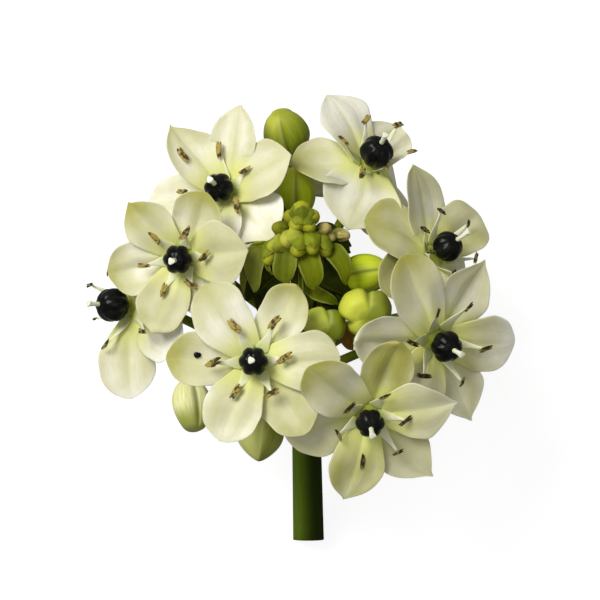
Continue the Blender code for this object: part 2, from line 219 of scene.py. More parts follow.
BLOOMS = (
    BloomPlan("upper_left", (-19.7, 28.1, 42.0), (-0.42, 0.36, 0.83), 62, (
        TepalPlan(123, 25, 22.8, Tip.SHARP, 0.3, 0.92, twist=30, fade=0.6),
        TepalPlan(72, 15, 23.3, Tip.CORNER, 0.3, 1.06),
        TepalPlan(13, 12, 22.0, Tip.CORNER, 0.4, 1.16),
        TepalPlan(-49, 3, 21.3, Tip.ROUND, 0.0, 1.42, fade=0.6),
        TepalPlan(-98, 10, 19.0, Tip.ROUND, 0.2, 1.1),
        TepalPlan(179, 3, 21.6, Tip.ROUND, 0.2, 1.08)),
        stamens((176, 10.5, 4.5, 160, 3.8), (132, 12.3, 10.0, 120, 4.6), (89, 10.8, 4.5, 88, 4.6),
                (24, 8.4, 4.5, 19, 3.7), (-49, 8.4, 4.5, 101, 4.6), (-110, 9.0, 4.5, 60, 3.6)),
        dry=0.5, swell=1.02, style=3.6, lean=0.3),
    BloomPlan("left", (-30.7, 10.9, 51.5), (-0.30, -0.12, 0.95), 52, (
        TepalPlan(134, 9, 19.7, Tip.CORNER, 0.5, 0.86, fade=0.6),
        TepalPlan(67, 8, 18.8, Tip.ROUND, 0.4, 1.05, fade=0.9),
        TepalPlan(9, 11, 19.6, Tip.CORNER, 0.5, 1.16),
        TepalPlan(-43, 8, 18.1, Tip.ROUND, 0.3, 1.15),
        TepalPlan(-109, 12, 20.6, Tip.HOODED, 0.5, 0.93),
        TepalPlan(-167, 8, 19.8, Tip.ROUND, 0.3, 1.04, fade=0.9)),
        stamens((138, 8.3, 4.5, 133), (72, 7.4, 4.5, 57, 4.3), (9, 7.5, 4.5, 43),
                (-58, 7.4, 4.5, 151), (-115, 8.9, 4.5, 74, 3.7), (-169, 9.3, 4.5, 179, 3.4)),
        dry=0.5, swell=1.0, style=3.6, lean=0.35),
    BloomPlan("front", (-11.5, -15.9, 67.2), (-0.10, 0.08, 0.99), 34, (
        TepalPlan(124, 9, 23.3, Tip.ROUND, 0.2, 1.0, fade=0.9),
        TepalPlan(61, 4, 22.4, Tip.HOODED, 0.4, 0.97, fade=0.9),
        TepalPlan(2, 7, 21.8, Tip.ROUND, 0.4, 1.0),
        TepalPlan(-53, 4.2, 22.4, Tip.ROUND, 0.6, 1.1),
        TepalPlan(-112, 12, 22.0, Tip.ROUND, 0.4, 1.0, fade=-0.3),
        TepalPlan(177, 3, 22.4, Tip.ROUND, 0.4, 1.05, fade=0.9)),
        stamens((118, 10.2, 4.5, 133, 4.5), (61, 11.2, 4.5, 47, 4.3), (5, 8.1, 4.5, 29, 4.4),
                (-60, 9.5, 4.5, 24), (-120, 9.0, 4.5, 55, 4.2), (-178, 10.3, 4.5, 22, 4.3)),
        dry=0.3, swell=0.98, style=3.8, lean=0.3),
    BloomPlan("lower_right", (17.6, -29.5, 65.6), (0.06, -0.40, 0.91), 24, (
        TepalPlan(135, 12, 22.6, Tip.ROUND, 0.4, 1.0, fade=0.9),
        TepalPlan(70, 2, 22.2, Tip.HOODED, 0.8, 1.0),
        TepalPlan(12, 10, 22.6, Tip.SHARP, 0.5, 1.06, fade=-0.6),
        TepalPlan(-46, 5, 23.1, Tip.SHARP, 0.5, 1.1, fade=-0.3),
        TepalPlan(-107, 12, 22.7, Tip.CORNER, 0.7, 0.96, fade=-0.3),
        TepalPlan(-168, 4, 21.6, Tip.ROUND, 0.4, 1.1)),
        stamens((142, 6.6, 4.5, 46, 4.1), (61, 8.0, 4.5, 23, 3.3), (0, 9.1, 4.5, 33, 3.9),
                (-51, 11.5, 4.5, 24, 3.2), (-99, 11.4, 4.5, 85, 3.9), (-156, 8.7, 4.5, 118, 3.5)),
        dry=0.9, swell=0.97, style=4.1, lean=0.0),
    BloomPlan("right", (35.4, -10.7, 55.9), (0.46, -0.25, 0.85), 40, (
        TepalPlan(112, -2, 25.4, Tip.ROUND, 0.4, 1.0, fade=0.9),
        TepalPlan(54, -1, 23.9, Tip.SHARP, 0.3, 1.15, fade=0.3),
        TepalPlan(-6, 8, 21.7, Tip.ROUND, 0.4, 1.0, fade=-0.9),
        TepalPlan(-68, 7, 23.4, Tip.SHARP, 0.3, 1.08),
        TepalPlan(-124, 12, 19.2, Tip.ROUND, 0.4, 1.1, fade=-0.9),
        TepalPlan(173, -4, 23.7, Tip.HOODED, 0.3, 1.12)),
        stamens((165, 11.3, 8.0, 151, 4.3), (110, 10.6, 8.0, 78, 2.8), (62, 11.6, 8.0, 35, 3.3),
                (-9, 10.8, 8.0, 7, 4.3), (-68, 10.5, 8.0, 50, 2.9), (-140, 9.8, 8.0, 169, 4.3)),
        dry=0.9, swell=1.08, style=4.1, lean=0.0),
    BloomPlan("upper_right", (35.3, 11.7, 45.0), (0.64, 0.45, 0.62), 58, (
        TepalPlan(55, 18, 19.3, Tip.ROUND, 0.6, 1.0, fade=-0.3),
        TepalPlan(119, 13, 24.3, Tip.CORNER, 0.3, 1.25, fade=0.6),
        TepalPlan(174, -6, 21.8, Tip.ROUND, 0.6, 1.28, fade=0.3),
        TepalPlan(-133, -12, 21.3, Tip.ROUND, 0.7, 1.15),
        TepalPlan(-85, 10, 16.0, Tip.ROUND, 0.4),
        TepalPlan(8, -20, 19.0, Tip.ROUND, 0.3)),
        stamens((180, 9.4, 8.0, -165, 4.4), (111, 9.6, 8.0, -170, 3.8), (57, 11.2, 8.0, 75, 2.8),
                (-88, 9.3, 8.0, 51, 3.3), (-140, 9.0, 7.0, 20, 3.6), (0, 9.0, 7.0, 80, 3.6)),
        dry=0.8, swell=1.05, style=4.6, lean=0.0),
    BloomPlan("top", (18.5, 35.8, 40.0), (0.36, 0.68, 0.64), 70, (
        TepalPlan(133, 16, 21.8, Tip.CORNER, 0.0, 1.22, fade=0.3),
        TepalPlan(64, 9, 17.5, Tip.CORNER, 0.3, 1.0),
        TepalPlan(12, -42, 20.0, Tip.CORNER, 0.0, 1.15, fade=0.3),
        TepalPlan(-52, -45, 19.0, Tip.ROUND, 0.0, 1.3),
        TepalPlan(-101, -19, 21.0, Tip.CORNER, 0.2, 1.5, fade=0.3),
        TepalPlan(-166, -8, 22.0, Tip.CORNER, 0.4, 1.34, fade=0.9)),
        stamens((113, 9.7, 8.0, -117, 4.1), (63, 11.7, 8.0, -132, 5.0), (10, 9.3, 8.0, -148, 3.4),
                (-173, 10.1, 7.0, 134, 3.7), (-56, 4.6, 4.5, 115, 3.2), (-113, 10.2, 4.5, 79, 4.4)),
        dry=0.6, swell=1.16, style=3.4, lean=0.25),
    BloomPlan("far_left", (-44.8, -1.6, 37.5), (-0.80, 0.05, 0.60), 36, (
        TepalPlan(-91, -2, 24.0, Tip.ROUND, 0.4, 1.0, twist=-45, fade=-0.6),
        TepalPlan(-27, -8, 21.2, Tip.ROUND, 0.2, 1.35, fade=-0.9),
        TepalPlan(32, -30, 18.0, Tip.ROUND, 0.4),
        TepalPlan(98, -35, 19.0, Tip.ROUND, 0.3),
        TepalPlan(150, -50, 21.0, Tip.ROUND, 0.3),
        TepalPlan(-148, -50, 21.0, Tip.ROUND, 0.3)),
        stamens((147, 10.7, 8.0, -176, 3.4), (-99, 10.5, 8.0, 43, 3.6), (-33, 13.8, 4.5, 169, 4.4),
                (40, 9.0, 7.0, 30, 3.6), (95, 9.5, 7.0, 80, 3.8), (-160, 9.0, 6.5, 10, 2.4)),
        dry=0.8, swell=1.2, style=3.2, lean=0.0),
    BloomPlan("under_left", (-25.0, 17.0, 16.0), (-0.93, 0.25, -0.27), 46, ring_of_tepals(20.0),
            ring_of_stamens(6.6)),
    BloomPlan("under_right", (30.0, -4.0, 15.0), (0.93, 0.20, -0.30), 42, ring_of_tepals(20.0),
            ring_of_stamens(6.6)),
    BloomPlan("under_top", (-1.5, 32.0, 12.6), (0.0, 0.93, -0.36), 56, ring_of_tepals(17.5),
            ring_of_stamens(6.6)),
)

# A bud's three lobe values paint light on the lobes that the light falls on and shade on those turned from
# it.
BUDS = (
    BudPlan("top", (-3.8, 44.2, 33.0), (-0.25, 0.80, 0.55),
            14.0, 12.6, 74, 0.26, -30, 0.42, lobe_light_and_shade=(0.35, 0.0, -0.1)),
    BudPlan("upper", (-1.2, 28.0, 39.0), (0.0, 0.90, 0.43), 15.5, 10.4, 66, 0.08, -30),
    BudPlan("inner_right", (16.9, 7.2, 47.5), (0.92, 0.15, 0.36), 14.0, 10.4, 64, roll=20),
    BudPlan("right_knot", (17.0, -3.4, 57.4), (0.05, -0.25, 0.96), 12.4, 14.0, 54, 0.30, 20, 0.42,
            lobe_light_and_shade=(0.85, 0.05, 0.35), sizes=(1.0, 1.06, 0.92), puff=1.5),
    BudPlan("left_knot", (6.3, -7.2, 57.0), (0.15, -0.30, 0.94), 11.4, 11.8, 48, 0.30, 15, 0.42,
            lobe_light_and_shade=(0.9, -0.5, 0.8), sizes=(0.95, 1.06, 1.0), puff=1.3),
    BudPlan("lower_left", (-28.4, -27.5, 45.0), (0.15, -0.92, 0.36), 15.0, 10.6, 44, 0.22, 5, 0.40),
    BudPlan("lower", (-10.2, -35.2, 44.0), (-0.08, -0.95, 0.30),
            15.0, 12.8, 38, 0.16, 30, 0.74, lobe_light_and_shade=(0.6, -0.9, 0.0)),
)

# Buds that lie in shade get the fresh green with painted light; the top bud, in full light, gets the darker
# green with painted shade.
BUD_FINISHES = {"right_knot": "bud bright", "left_knot": "bud fresh with painted light", "lower_left": "bud whitening",
                "lower": "bud olive", "upper": "bud fresh with painted light", "inner_right": "bud fresh with painted light"}

# A young bud's dark value is painted shade, and painted light where it is below zero: the buds deep in the
# crown are painted dark for the shade they lie in, and the pale one is painted light.
YOUNG_BUDS = (
    BudPlan("dome", (-0.1, 20.9, 54.6), (0.0, 0.55, 0.83), 9.4, 7.2, 0, 0.14, ridges=0.10),
    BudPlan("dome_top", (0.4, 22.8, 57.6), (0.05, 0.75, 0.66), 6.8, 5.6, 0, 0.14, 10, ridges=0.16),
    BudPlan("dome_left", (-1.9, 21.3, 57.8), (-0.62, 0.30, 0.72),
            6.2, 4.6, 0, 0.14, 40, ridges=0.16, dark=0.25),
    BudPlan("dome_right", (2.7, 21.3, 57.6), (0.64, 0.28, 0.72),
            6.2, 4.6, 0, 0.14, 80, ridges=0.16, dark=0.2),
    BudPlan("dome_near", (-0.7, 19.6, 58.4), (-0.28, -0.35, 0.89),
            6.4, 4.8, 0, 0.14, 20, ridges=0.16, dark=-0.2),
    BudPlan("dome_side", (2.0, 19.4, 58.2), (0.34, -0.34, 0.88), 6.2, 4.6, 0, 0.14, 60, ridges=0.16),
    BudPlan("pale", (-2.5, 15.8, 58.6), (-0.50, -0.25, 0.78),
            7.4, 5.2, 0, 0.14, 20, 0.5, -0.8, ridges=0.16),
    BudPlan("shoulder", (-5.6, 14.4, 57.6), (-0.72, -0.30, 0.62),
            7.4, 4.8, 0, 0.14, 50, 0.5, -0.35, ridges=0.16),
    BudPlan("middle", (-0.4, 14.0, 58.6), (-0.10, -0.62, 0.78), 8.0, 5.0, 0, 0.14, 70, 0.5, ridges=0.16),
    BudPlan("hanging", (2.6, 14.6, 58.0), (0.25, -0.60, 0.76),
            8.4, 5.0, 0, 0.14, 10, 0.5, 0.15, ridges=0.16),
    BudPlan("right", (5.6, 14.0, 56.0), (0.48, -0.62, 0.62),
            8.4, 4.8, 0, 0.14, 40, 0.5, 0.5, ridges=0.16),
    BudPlan("left", (-6.9, 12.1, 55.8), (-0.50, -0.62, 0.60),
            8.6, 5.2, 0, 0.14, 70, 0.5, -0.1, ridges=0.16),
    BudPlan("hidden", (-4.4, 18.2, 54.5), (-0.70, 0.25, 0.66),
            7.4, 4.8, 0, 0.14, 30, 0.5, 0.6, ridges=0.10),
    BudPlan("far", (0.0, 20.0, 50.0), (0.0, 0.95, 0.10), 8.5, 6.8, 0, 0.14, dark=0.5),
    BudPlan("near", (3.4, 10.0, 54.0), (0.30, -0.80, 0.50), 8.5, 5.6, 0, 0.14, dark=0.8),
    BudPlan("deep_left", (-3.6, 11.0, 53.5), (-0.30, -0.80, 0.45), 8.5, 5.6, 0, 0.14, dark=0.8),
)

BUDS_IN_VIEW = YOUNG_BUDS[1:12]

WITHERED_BUDS = (
    BudPlan("withered_near", (6.0, 18.4, 56.0), (0.60, 0.20, 0.75),
            5.6, 3.8, 0, 0.34, 10, 0.5, ridges=0.25),
    BudPlan("withered_mid", (7.6, 16.9, 55.0), (0.50, -0.60, 0.60),
            5.0, 3.2, 0, 0.34, 90, 0.5, 0.4, ridges=0.25),
    BudPlan("withered_far", (10.4, 16.9, 53.5), (0.80, -0.10, 0.55),
            6.4, 3.8, 0, 0.34, 50, 0.5, ridges=0.25),
)

# The fifth value of a bract is its painted light, which makes bracts in shade paler.
CROWN_BRACTS = (
    BractPlan((-3.0, 15.0, 56.5), (-4.4, 10.5, 61.0), (-3.9, 4.4, 57.5), 6.2, 0.08, 3.6),
    BractPlan((0.8, 12.8, 56.0), (3.4, 10.4, 60.6), (3.6, 2.8, 56.5), 6.4, 0.0, 2.8),
    BractPlan((5.0, 13.6, 52.5), (11.6, 13.6, 60.5), (12.0, 4.1, 55.5), 5.6),
    BractPlan((-6.0, 12.5, 52.0), (-14.2, 14.6, 58.5), (-11.7, 2.1, 53.0), 6.2, 0.35, 2.6),
    BractPlan((-9.0, 10.6, 51.0), (-16.2, 9.2, 54.5), (-14.6, 1.8, 51.0), 2.6, 0.4),
    BractPlan((-5.0, 13.4, 52.5), (-11.4, 15.4, 56.0), (-14.0, 11.4, 52.0), 3.0),
    BractPlan((-5.0, 14.0, 52.0), (-12.5, 14.8, 53.5), (-14.8, 14.1, 51.0), 2.0),
    BractPlan((0.4, 3.6, 49.0), (4.7, 1.8, 54.0), (9.9, -1.0, 51.0), 3.8),
    BractPlan((0.0, 10.6, 56.0), (0.1, 4.1, 55.4), (0.5, -3.6, 52.0), 1.5),
    BractPlan((-6.0, 14.0, 54.0), (-10.4, 9.0, 56.8), (-7.0, 6.7, 56.0), 1.6),
)

# Dark sheets deep in the crown that stand for the shade among its pedicels and buds: their colour is
# painted shade.
PAINTED_SHADE_BRACTS = (
    BractPlan((4.6, 15.6, 52.0), (9.9, 16.2, 55.0), (12.8, 12.4, 51.0), 4.8),
    BractPlan((3.0, 16.7, 50.0), (7.8, 16.6, 51.5), (13.1, 14.1, 48.0), 6.0),
    BractPlan((2.0, 12.0, 51.0), (8.8, 7.8, 52.0), (14.0, 1.8, 47.0), 8.6),
    BractPlan((0.8, 10.9, 50.0), (4.7, 5.2, 50.8), (11.0, -0.8, 47.0), 7.4),
    BractPlan((1.2, 9.9, 50.0), (1.8, 3.9, 50.0), (1.6, -4.2, 46.0), 5.6),
    BractPlan((1.6, 3.6, 46.5), (9.9, 0.0, 49.5), (11.5, -6.2, 46.5), 5.4),
    BractPlan((-3.0, 9.0, 45.0), (-8.0, 4.5, 47.0), (-10.8, -3.4, 44.0), 7.6),
    BractPlan((-2.0, 12.5, 51.0), (-7.3, 8.3, 51.0), (-9.9, 0.6, 46.5), 8.6),
    BractPlan((-3.0, 11.5, 50.0), (-9.9, 9.9, 50.0), (-14.1, 0.0, 46.0), 6.6),
    BractPlan((-3.0, 13.6, 50.0), (-13.0, 13.5, 50.5), (-16.6, 8.0, 47.0), 5.4),
    BractPlan((-2.6, 14.6, 50.0), (-5.0, 20.4, 49.5), (-5.0, 25.4, 46.0), 3.6),
    BractPlan((2.0, 17.0, 50.0), (7.8, 20.9, 53.0), (9.8, 18.0, 51.0), 2.4),
)

DRY_BRACTS = (
    BractPlan((-2.0, 14.0, 53.0), (-13.0, 14.0, 52.0), (-20.2, 6.4, 50.0), 4.4),
    BractPlan((6.4, -4.0, 48.0), (12.6, -7.6, 52.4), (13.6, -12.8, 49.0), 5.2),
    BractPlan((14.0, 27.6, 32.5), (20.6, 31.4, 37.0), (21.4, 25.2, 35.0), 2.6),
)

ANTHER_SHAPES = ((0.15, 0.3), (0.0, 0.5), (0.25, 0.15), (-0.1, -0.2))


def clear_selection() -> None:
    """Leaves nothing selected, so an operator acts only on what is chosen next."""
    bpy.ops.object.select_all(action="DESELECT")


def choose(pieces: Sequence[Piece]) -> None:
    """Selects the given pieces alone and makes the first one active.

    Args:
        pieces: The pieces to select.
    """
    clear_selection()
    for piece in pieces:
        piece.select_set(True)
    bpy.context.view_layer.objects.active = pieces[0]


@contextmanager
def editing() -> Iterator[None]:
    """Keeps the active piece in edit mode for a few operators.

    Yields:
        Nothing; edit mode ends when the caller's block does.
    """
    bpy.ops.object.mode_set(mode="EDIT")
    yield
    bpy.ops.object.mode_set(mode="OBJECT")


def finish_with(piece: Piece, kind: str, **settings: object) -> None:
    """Adds a modifier to a piece and applies it.

    Args:
        piece: The piece to change.
        kind: Blender's name of the modifier.
        settings: The modifier's own settings.
    """
    choose([piece])
    modifier = piece.modifiers.new(kind.title(), kind)
    for name, value in settings.items():
        setattr(modifier, name, value)
    bpy.ops.object.modifier_apply(modifier=modifier.name)


def refine(piece: Piece) -> Piece:
    """Rounds a piece with a subdivision surface and gives it back.

    Args:
        piece: The piece to round.

    Returns:
        The same piece.
    """
    finish_with(piece, "SUBSURF", levels=1, render_levels=1)
    bpy.ops.object.shade_smooth()
    return piece


def joined(pieces: Sequence[Piece], name: str) -> Piece:
    """Joins pieces into one.

    Args:
        pieces: The pieces to join.
        name: The name of the joined piece.

    Returns:
        The joined piece.
    """
    choose(pieces)
    if len(pieces) > 1:
        bpy.ops.object.join()
    pieces[0].name = name
    pieces[0].data.name = name
    return pieces[0]


def copy_of(pattern: Piece, name: str) -> Piece:
    """Copies a piece, with a mesh of its own.

    Args:
        pattern: The piece to copy.
        name: The name of the copy.

    Returns:
        The copy.
    """
    copy = bpy.data.objects.new(name, pattern.data.copy())
    bpy.context.scene.collection.objects.link(copy)
    return copy


def points_of(piece: Piece) -> Array:
    """Reads the points of a piece's mesh as rows.

    Args:
        piece: The piece.

    Returns:
        A row of three numbers for each point.
    """
    flat = np.empty(len(piece.data.vertices) * 3)
    piece.data.vertices.foreach_get("co", flat)
    return flat.reshape(-1, 3)


def move_points(piece: Piece, points: Array) -> None:
    """Puts the points of a piece's mesh where the rows say."""
    piece.data.vertices.foreach_set("co", np.ascontiguousarray(points, dtype=np.float64).ravel())
    piece.data.update()


def note(piece: Piece, name: str, values: Array) -> None:
    """Keeps three numbers at each point of a piece, for its material to read.

    Args:
        piece: The piece that keeps them.
        name: The name of the attribute.
        values: One row of three numbers for each point.
    """
    kept = piece.data.attributes.new(name, "FLOAT_VECTOR", "POINT")
    kept.data.foreach_set("vector", np.ascontiguousarray(values, dtype=np.float32).ravel())


def noted(piece: Piece, name: str) -> Array:
    """Reads the numbers that a piece keeps under a name as rows.

    Args:
        piece: The piece.
        name: The name of the attribute.

    Returns:
        A row of three numbers for each point.
    """
    flat = np.empty(len(piece.data.vertices) * 3, dtype=np.float32)
    piece.data.attributes[name].data.foreach_get("vector", flat)
    return flat.reshape(-1, 3)


def unit(way: Sequence[float] | Array) -> Array:
    """Scales a vector, or each row of vectors, to length one."""
    way = np.asarray(way, dtype=float)
    return way / np.linalg.norm(way, axis=-1, keepdims=True)


def axes_of(facing: Sequence[float]) -> Array:
    """Finds two directions across a facing, the first as near +X as it can be.

    Args:
        facing: The way that a flower or bud faces.

    Returns:
        The two directions and the facing, as rows.
    """
    axis = unit(facing)
    first = unit(ACROSS - axis[0] * axis)
    return np.array((first, np.cross(axis, first), axis))


def carry(piece: Piece, seat: Sequence[float], facing: Sequence[float]) -> Piece:
    """Carries a piece made about +Z to a seat and facing.

    Args:
        piece: The piece, in millimetres about the origin.
        seat: Where the origin goes, in plan millimetres.
        facing: Where +Z goes.

    Returns:
        The same piece, in plan millimetres.
    """
    move_points(piece, points_of(piece) @ axes_of(facing) + np.array(seat))
    return piece


def settle(piece: Piece) -> None:
    """Turns plan millimetres into the frame's metres, and presses what is lowest flat on the floor.

    Args:
        piece: The piece, in plan millimetres.
    """
    points = points_of(piece)
    low = np.minimum(points[:, 2], PRESS)
    points[:, 2] = np.where(points[:, 2] < PRESS, PRESS * np.exp((low - PRESS) / PRESS), points[:, 2])
    move_points(piece, (points - PLAN_CENTRE) * MM)


def bezier(corners: Sequence[Array], share: Array) -> Array:
    """Follows a curve of four corners.

    Args:
        corners: The two ends and the two points that pull the curve.
        share: How far along each point is, from 0 to 1.

    Returns:
        A row for each share.
    """
    share = np.asarray(share, dtype=float)[..., None]
    rest = 1 - share
    return (rest**3 * corners[0] + 3 * rest**2 * share * corners[1] + 3 * rest * share**2 * corners[2]
            + share**3 * corners[3])


def slope_of(corners: Sequence[Array], share: Array) -> Array:
    """Finds the unit direction of a curve of four corners at each share.

    Args:
        corners: The two ends and the two points that pull the curve.
        share: How far along each point is, from 0 to 1.

    Returns:
        A row for each share.
    """
    share = np.asarray(share, dtype=float)[..., None]
    rest = 1 - share
    return unit(rest**2 * (corners[1] - corners[0]) + 2 * rest * share * (corners[2] - corners[1])
                + share**2 * (corners[3] - corners[2]))


def eased(low: float, high: float, values: Array) -> Array:
    """Rises smoothly from 0 at low to 1 at high."""
    part = np.clip((values - low) / (high - low), 0, 1)
    return part * part * (3 - 2 * part)


def bell(values: Array, middle: float, reach: float) -> Array:
    """Gives a bell curve, 1 at the middle and near 0 two reaches away."""
    return np.exp(-((values - middle) / reach)**2)


def about(angle: Array, wide: Array, high: Array) -> Array:
    """Places points about +Z by their angle, their distance from it and their height."""
    return np.stack((wide * np.cos(angle), wide * np.sin(angle), high), 1)


def outward_at(turn: float) -> Array:
    """Finds the direction across +Z at an angle in radians."""
    return np.array((math.cos(turn), math.sin(turn), 0.0))


def beside(line: Array, *steps: tuple[Array, Array]) -> Array:
    """Steps aside from a line.

    Args:
        line: A row for each point.
        steps: Pairs of a direction, or a row of it for each point, and how far each point goes along it.

    Returns:
        The moved rows.
    """
    for way, reach in steps:
        line = line + way * reach[:, None]
    return line


def turned(way: Array, axis: Array, angle: Array) -> Array:
    """Turns a direction about an axis, row by row.

    Args:
        way: The direction.
        axis: A unit axis for each row.
        angle: An angle in radians for each row.

    Returns:
        The turned direction of each row.
    """
    cos, sin = np.cos(angle)[:, None], np.sin(angle)[:, None]
    along = (axis @ way)[:, None]
    return way * cos + np.cross(axis, way) * sin + axis * along * (1 - cos)


def sheet(name: str, former: Former, across: int, along: int) -> Piece:
    """Models an open sheet from a grid.

    Args:
        name: The name of the sheet.
        former: Gives a row for each point from its side, -1 to 1, and its row, 0 to 1.
        across: The number of faces from side to side.
        along: The number of faces from end to end.

    Returns:
        The sheet.
    """
    clear_selection()
    bpy.ops.mesh.primitive_grid_add(x_subdivisions=across, y_subdivisions=along, size=2.0)
    made = bpy.context.object
    made.name = name
    start = points_of(made)
    move_points(made, former(-start[:, 0], (start[:, 1] + 1) / 2))
    return made


def pod(name: str, former: Former, around: int, along: int) -> Piece:
    """Models a closed body from a sphere.

    Args:
        name: The name of the body.
        former: Gives a row for each point from its angle and its share from foot to head.
        around: The number of faces round it.
        along: The number of faces from foot to head.

    Returns:
        The body, with its angle and share kept at each point.
    """
    clear_selection()
    bpy.ops.mesh.primitive_uv_sphere_add(segments=around, ring_count=along, radius=1.0)
    made = bpy.context.object
    made.name = name
    start = points_of(made)
    angle = np.arctan2(start[:, 1], start[:, 0])
    share = np.arccos(np.clip(-start[:, 2], -1, 1)) / math.pi
    move_points(made, former(angle, share))
    note(made, "skin", np.stack((np.cos(angle), np.sin(angle), share), 1))
    return made


@dataclass(frozen=True)
class Leaf:
    """How finely a thin leaf is modelled, how thick it is in millimetres, and the share left at its rim."""

    across: int = 14
    along: int = 22
    thickness: float = 0.55
    rim: float = 0.45

    def close(self, leaves: Sequence[Piece], name: str) -> Piece:
        """Joins open leaves, then thickens and rounds them together.

        Args:
            leaves: The open leaves, with their sides kept at each point.
            name: The name of the joined piece.

        Returns:
            The closed leaves as one piece.
        """
        made = joined(leaves, name)
        group = made.vertex_groups.new(name="thickness")
        for index, weight in enumerate(1 - np.abs(noted(made, "leaf")[:, 0])**4):
            group.add([index], float(weight), "REPLACE")
        finish_with(made, "SOLIDIFY", thickness=self.thickness, offset=-1.0, vertex_group="thickness",
                    thickness_vertex_group=self.rim, use_even_offset=False)
        made.vertex_groups.clear()
        return refine(made)


class NodeWriter:
    """Writes the nodes of one material or one shared effect."""

    def __init__(self, tree: bpy.types.NodeTree) -> None:
        """Starts on an empty tree."""
        self.tree = tree
        self.tree.nodes.clear()

    def node(self, kind: str, **settings: object) -> Node:
        """Adds a node and gives it its settings.

        Args:
            kind: Blender's name of the node.
            settings: The node's own settings.

        Returns:
            The node.
        """
        made = self.tree.nodes.new(kind)
        for name, value in settings.items():
            setattr(made, name, value)
        return made

    def feed(self, socket: Socket, value: Value) -> None:
        """Links a socket to another, or sets it to a plain value.

        Args:
            socket: The socket that takes the value.
            value: The other socket, or the number or colour.
        """
        if isinstance(value, Socket):
            self.tree.links.new(value, socket)
        elif isinstance(value, tuple) and socket.type == "RGBA":
            socket.default_value = (*value, 1.0)
        else:
            socket.default_value = value

    def math(self, operation: str, first: Value, second: Value = 0.0, clamp: bool = False) -> Socket:
        """Works out one step of arithmetic.

        Args:
            operation: Blender's name of the step.
            first: The first number.
            second: The second number, where the step has one.
            clamp: Whether the result stays between 0 and 1.

        Returns:
            The result's socket.
        """
        made = self.node("ShaderNodeMath", operation=operation, use_clamp=clamp)
        self.feed(made.inputs[0], first)
        self.feed(made.inputs[1], second)
        return made.outputs[0]

    def times(self, first: Value, second: Value) -> Socket:
        """Multiplies two numbers."""
        return self.math("MULTIPLY", first, second)

    def plus(self, first: Value, second: Value) -> Socket:
        """Adds two numbers."""
        return self.math("ADD", first, second)

    def ramp(self, value: Value, low: float, high: float, start: float = 0.0, end: float = 1.0) -> Socket:
        """Eases a number from one range to another.

        Args:
            value: The number.
            low: Where the easing starts.
            high: Where it ends.
            start: What it gives up to low.
            end: What it gives from high on.

        Returns:
            The eased number's socket.
        """
        made = self.node("ShaderNodeMapRange", interpolation_type="SMOOTHSTEP")
        for socket, given in zip(made.inputs, (value, low, high, start, end)):
            self.feed(socket, given)
        return made.outputs[0]

    def mix(self, factor: Value, first: Value, second: Value) -> Socket:
        """Mixes two colours.

        Args:
            factor: How much of the second colour there is, kept between 0 and 1.
            first: The first colour.
            second: The second colour.

        Returns:
            The mixed colour's socket.
        """
        made = self.node("ShaderNodeMix", data_type="RGBA", clamp_factor=True)
        self.feed(made.inputs["Factor"], factor)
        self.feed(made.inputs[6], first)
        self.feed(made.inputs[7], second)
        return made.outputs[2]

    def noise(self, vector: Value, scale: Value, detail: float = 2.0, roughness: float = 0.5) -> Socket:
        """Adds a soft random pattern.

        Args:
            vector: The coordinates that it follows.
            scale: How fine it is.
            detail: How many finer layers it has.
            roughness: How strong they are.

        Returns:
            The pattern's socket, about 0.5 on average.
        """
        made = self.node("ShaderNodeTexNoise")
        given = {"Vector": vector, "Scale": scale, "Detail": detail, "Roughness": roughness}
        for name, value in given.items():
            self.feed(made.inputs[name], value)
        return made.outputs["Fac"]

    def vector(self, across: Value, along: Value, over: Value = 0.0) -> Socket:
        """Puts three numbers together as coordinates.

        Args:
            across: The first number.
            along: The second number.
            over: The third number.

        Returns:
            The coordinates' socket.
        """
        made = self.node("ShaderNodeCombineXYZ")
        for socket, value in zip(made.inputs, (across, along, over)):
            self.feed(socket, value)
        return made.outputs[0]

    def parts(self, name: str) -> tuple[Socket, ...]:
        """Reads the three numbers that a piece keeps under a name.

        Args:
            name: The name of the attribute.

        Returns:
            The socket of each number.
        """
        read = self.node("ShaderNodeAttribute", attribute_name=name)
        split = self.node("ShaderNodeSeparateXYZ")
        self.feed(split.inputs[0], read.outputs["Vector"])
        return tuple(split.outputs)

    def place(self) -> Socket:
        """Reads the piece's own coordinates, in metres."""
        return self.node("ShaderNodeTexCoord").outputs["Object"]

    def shared(self, tree: bpy.types.NodeTree, **inputs: Value) -> dict[str, Socket]:
        """Places a shared effect with its own values, and gives its outputs by name.

        Args:
            tree: The shared effect.
            inputs: Its values by name.

        Returns:
            The sockets that it gives, by name.
        """
        made = self.node("ShaderNodeGroup", node_tree=tree)
        for name, value in inputs.items():
            self.feed(made.inputs[name], value)
        return {socket.name: socket for socket in made.outputs}

    def shader(self) -> Node:
        """Adds the surface shader and links it to the material's output.

        Returns:
            The shader.
        """
        made = self.node("ShaderNodeBsdfPrincipled")
        out = self.node("ShaderNodeOutputMaterial")
        self.feed(out.inputs["Surface"], made.outputs[0])
        return made


def effect(name: str, inputs: dict[str, float], outputs: Sequence[str]) -> tuple[NodeWriter, dict, dict]:
    """Starts a shared effect with named inputs and outputs.

    Args:
        name: The name of the effect.
        inputs: The numbers it takes, with their usual values.
        outputs: The numbers it gives.

    Returns:
        The writer, and the sockets of its inputs and outputs by name.
    """
    tree = bpy.data.node_groups.new(name, "ShaderNodeTree")
    for label, usual in inputs.items():
        made = tree.interface.new_socket(name=label, in_out="INPUT", socket_type="NodeSocketFloat")
        made.default_value = usual
    for label in outputs:
        tree.interface.new_socket(name=label, in_out="OUTPUT", socket_type="NodeSocketFloat")
    writer = NodeWriter(tree)
    taken = writer.node("NodeGroupInput").outputs
    given = writer.node("NodeGroupOutput").inputs
    return writer, {label: taken[label] for label in inputs}, {label: given[label] for label in outputs}


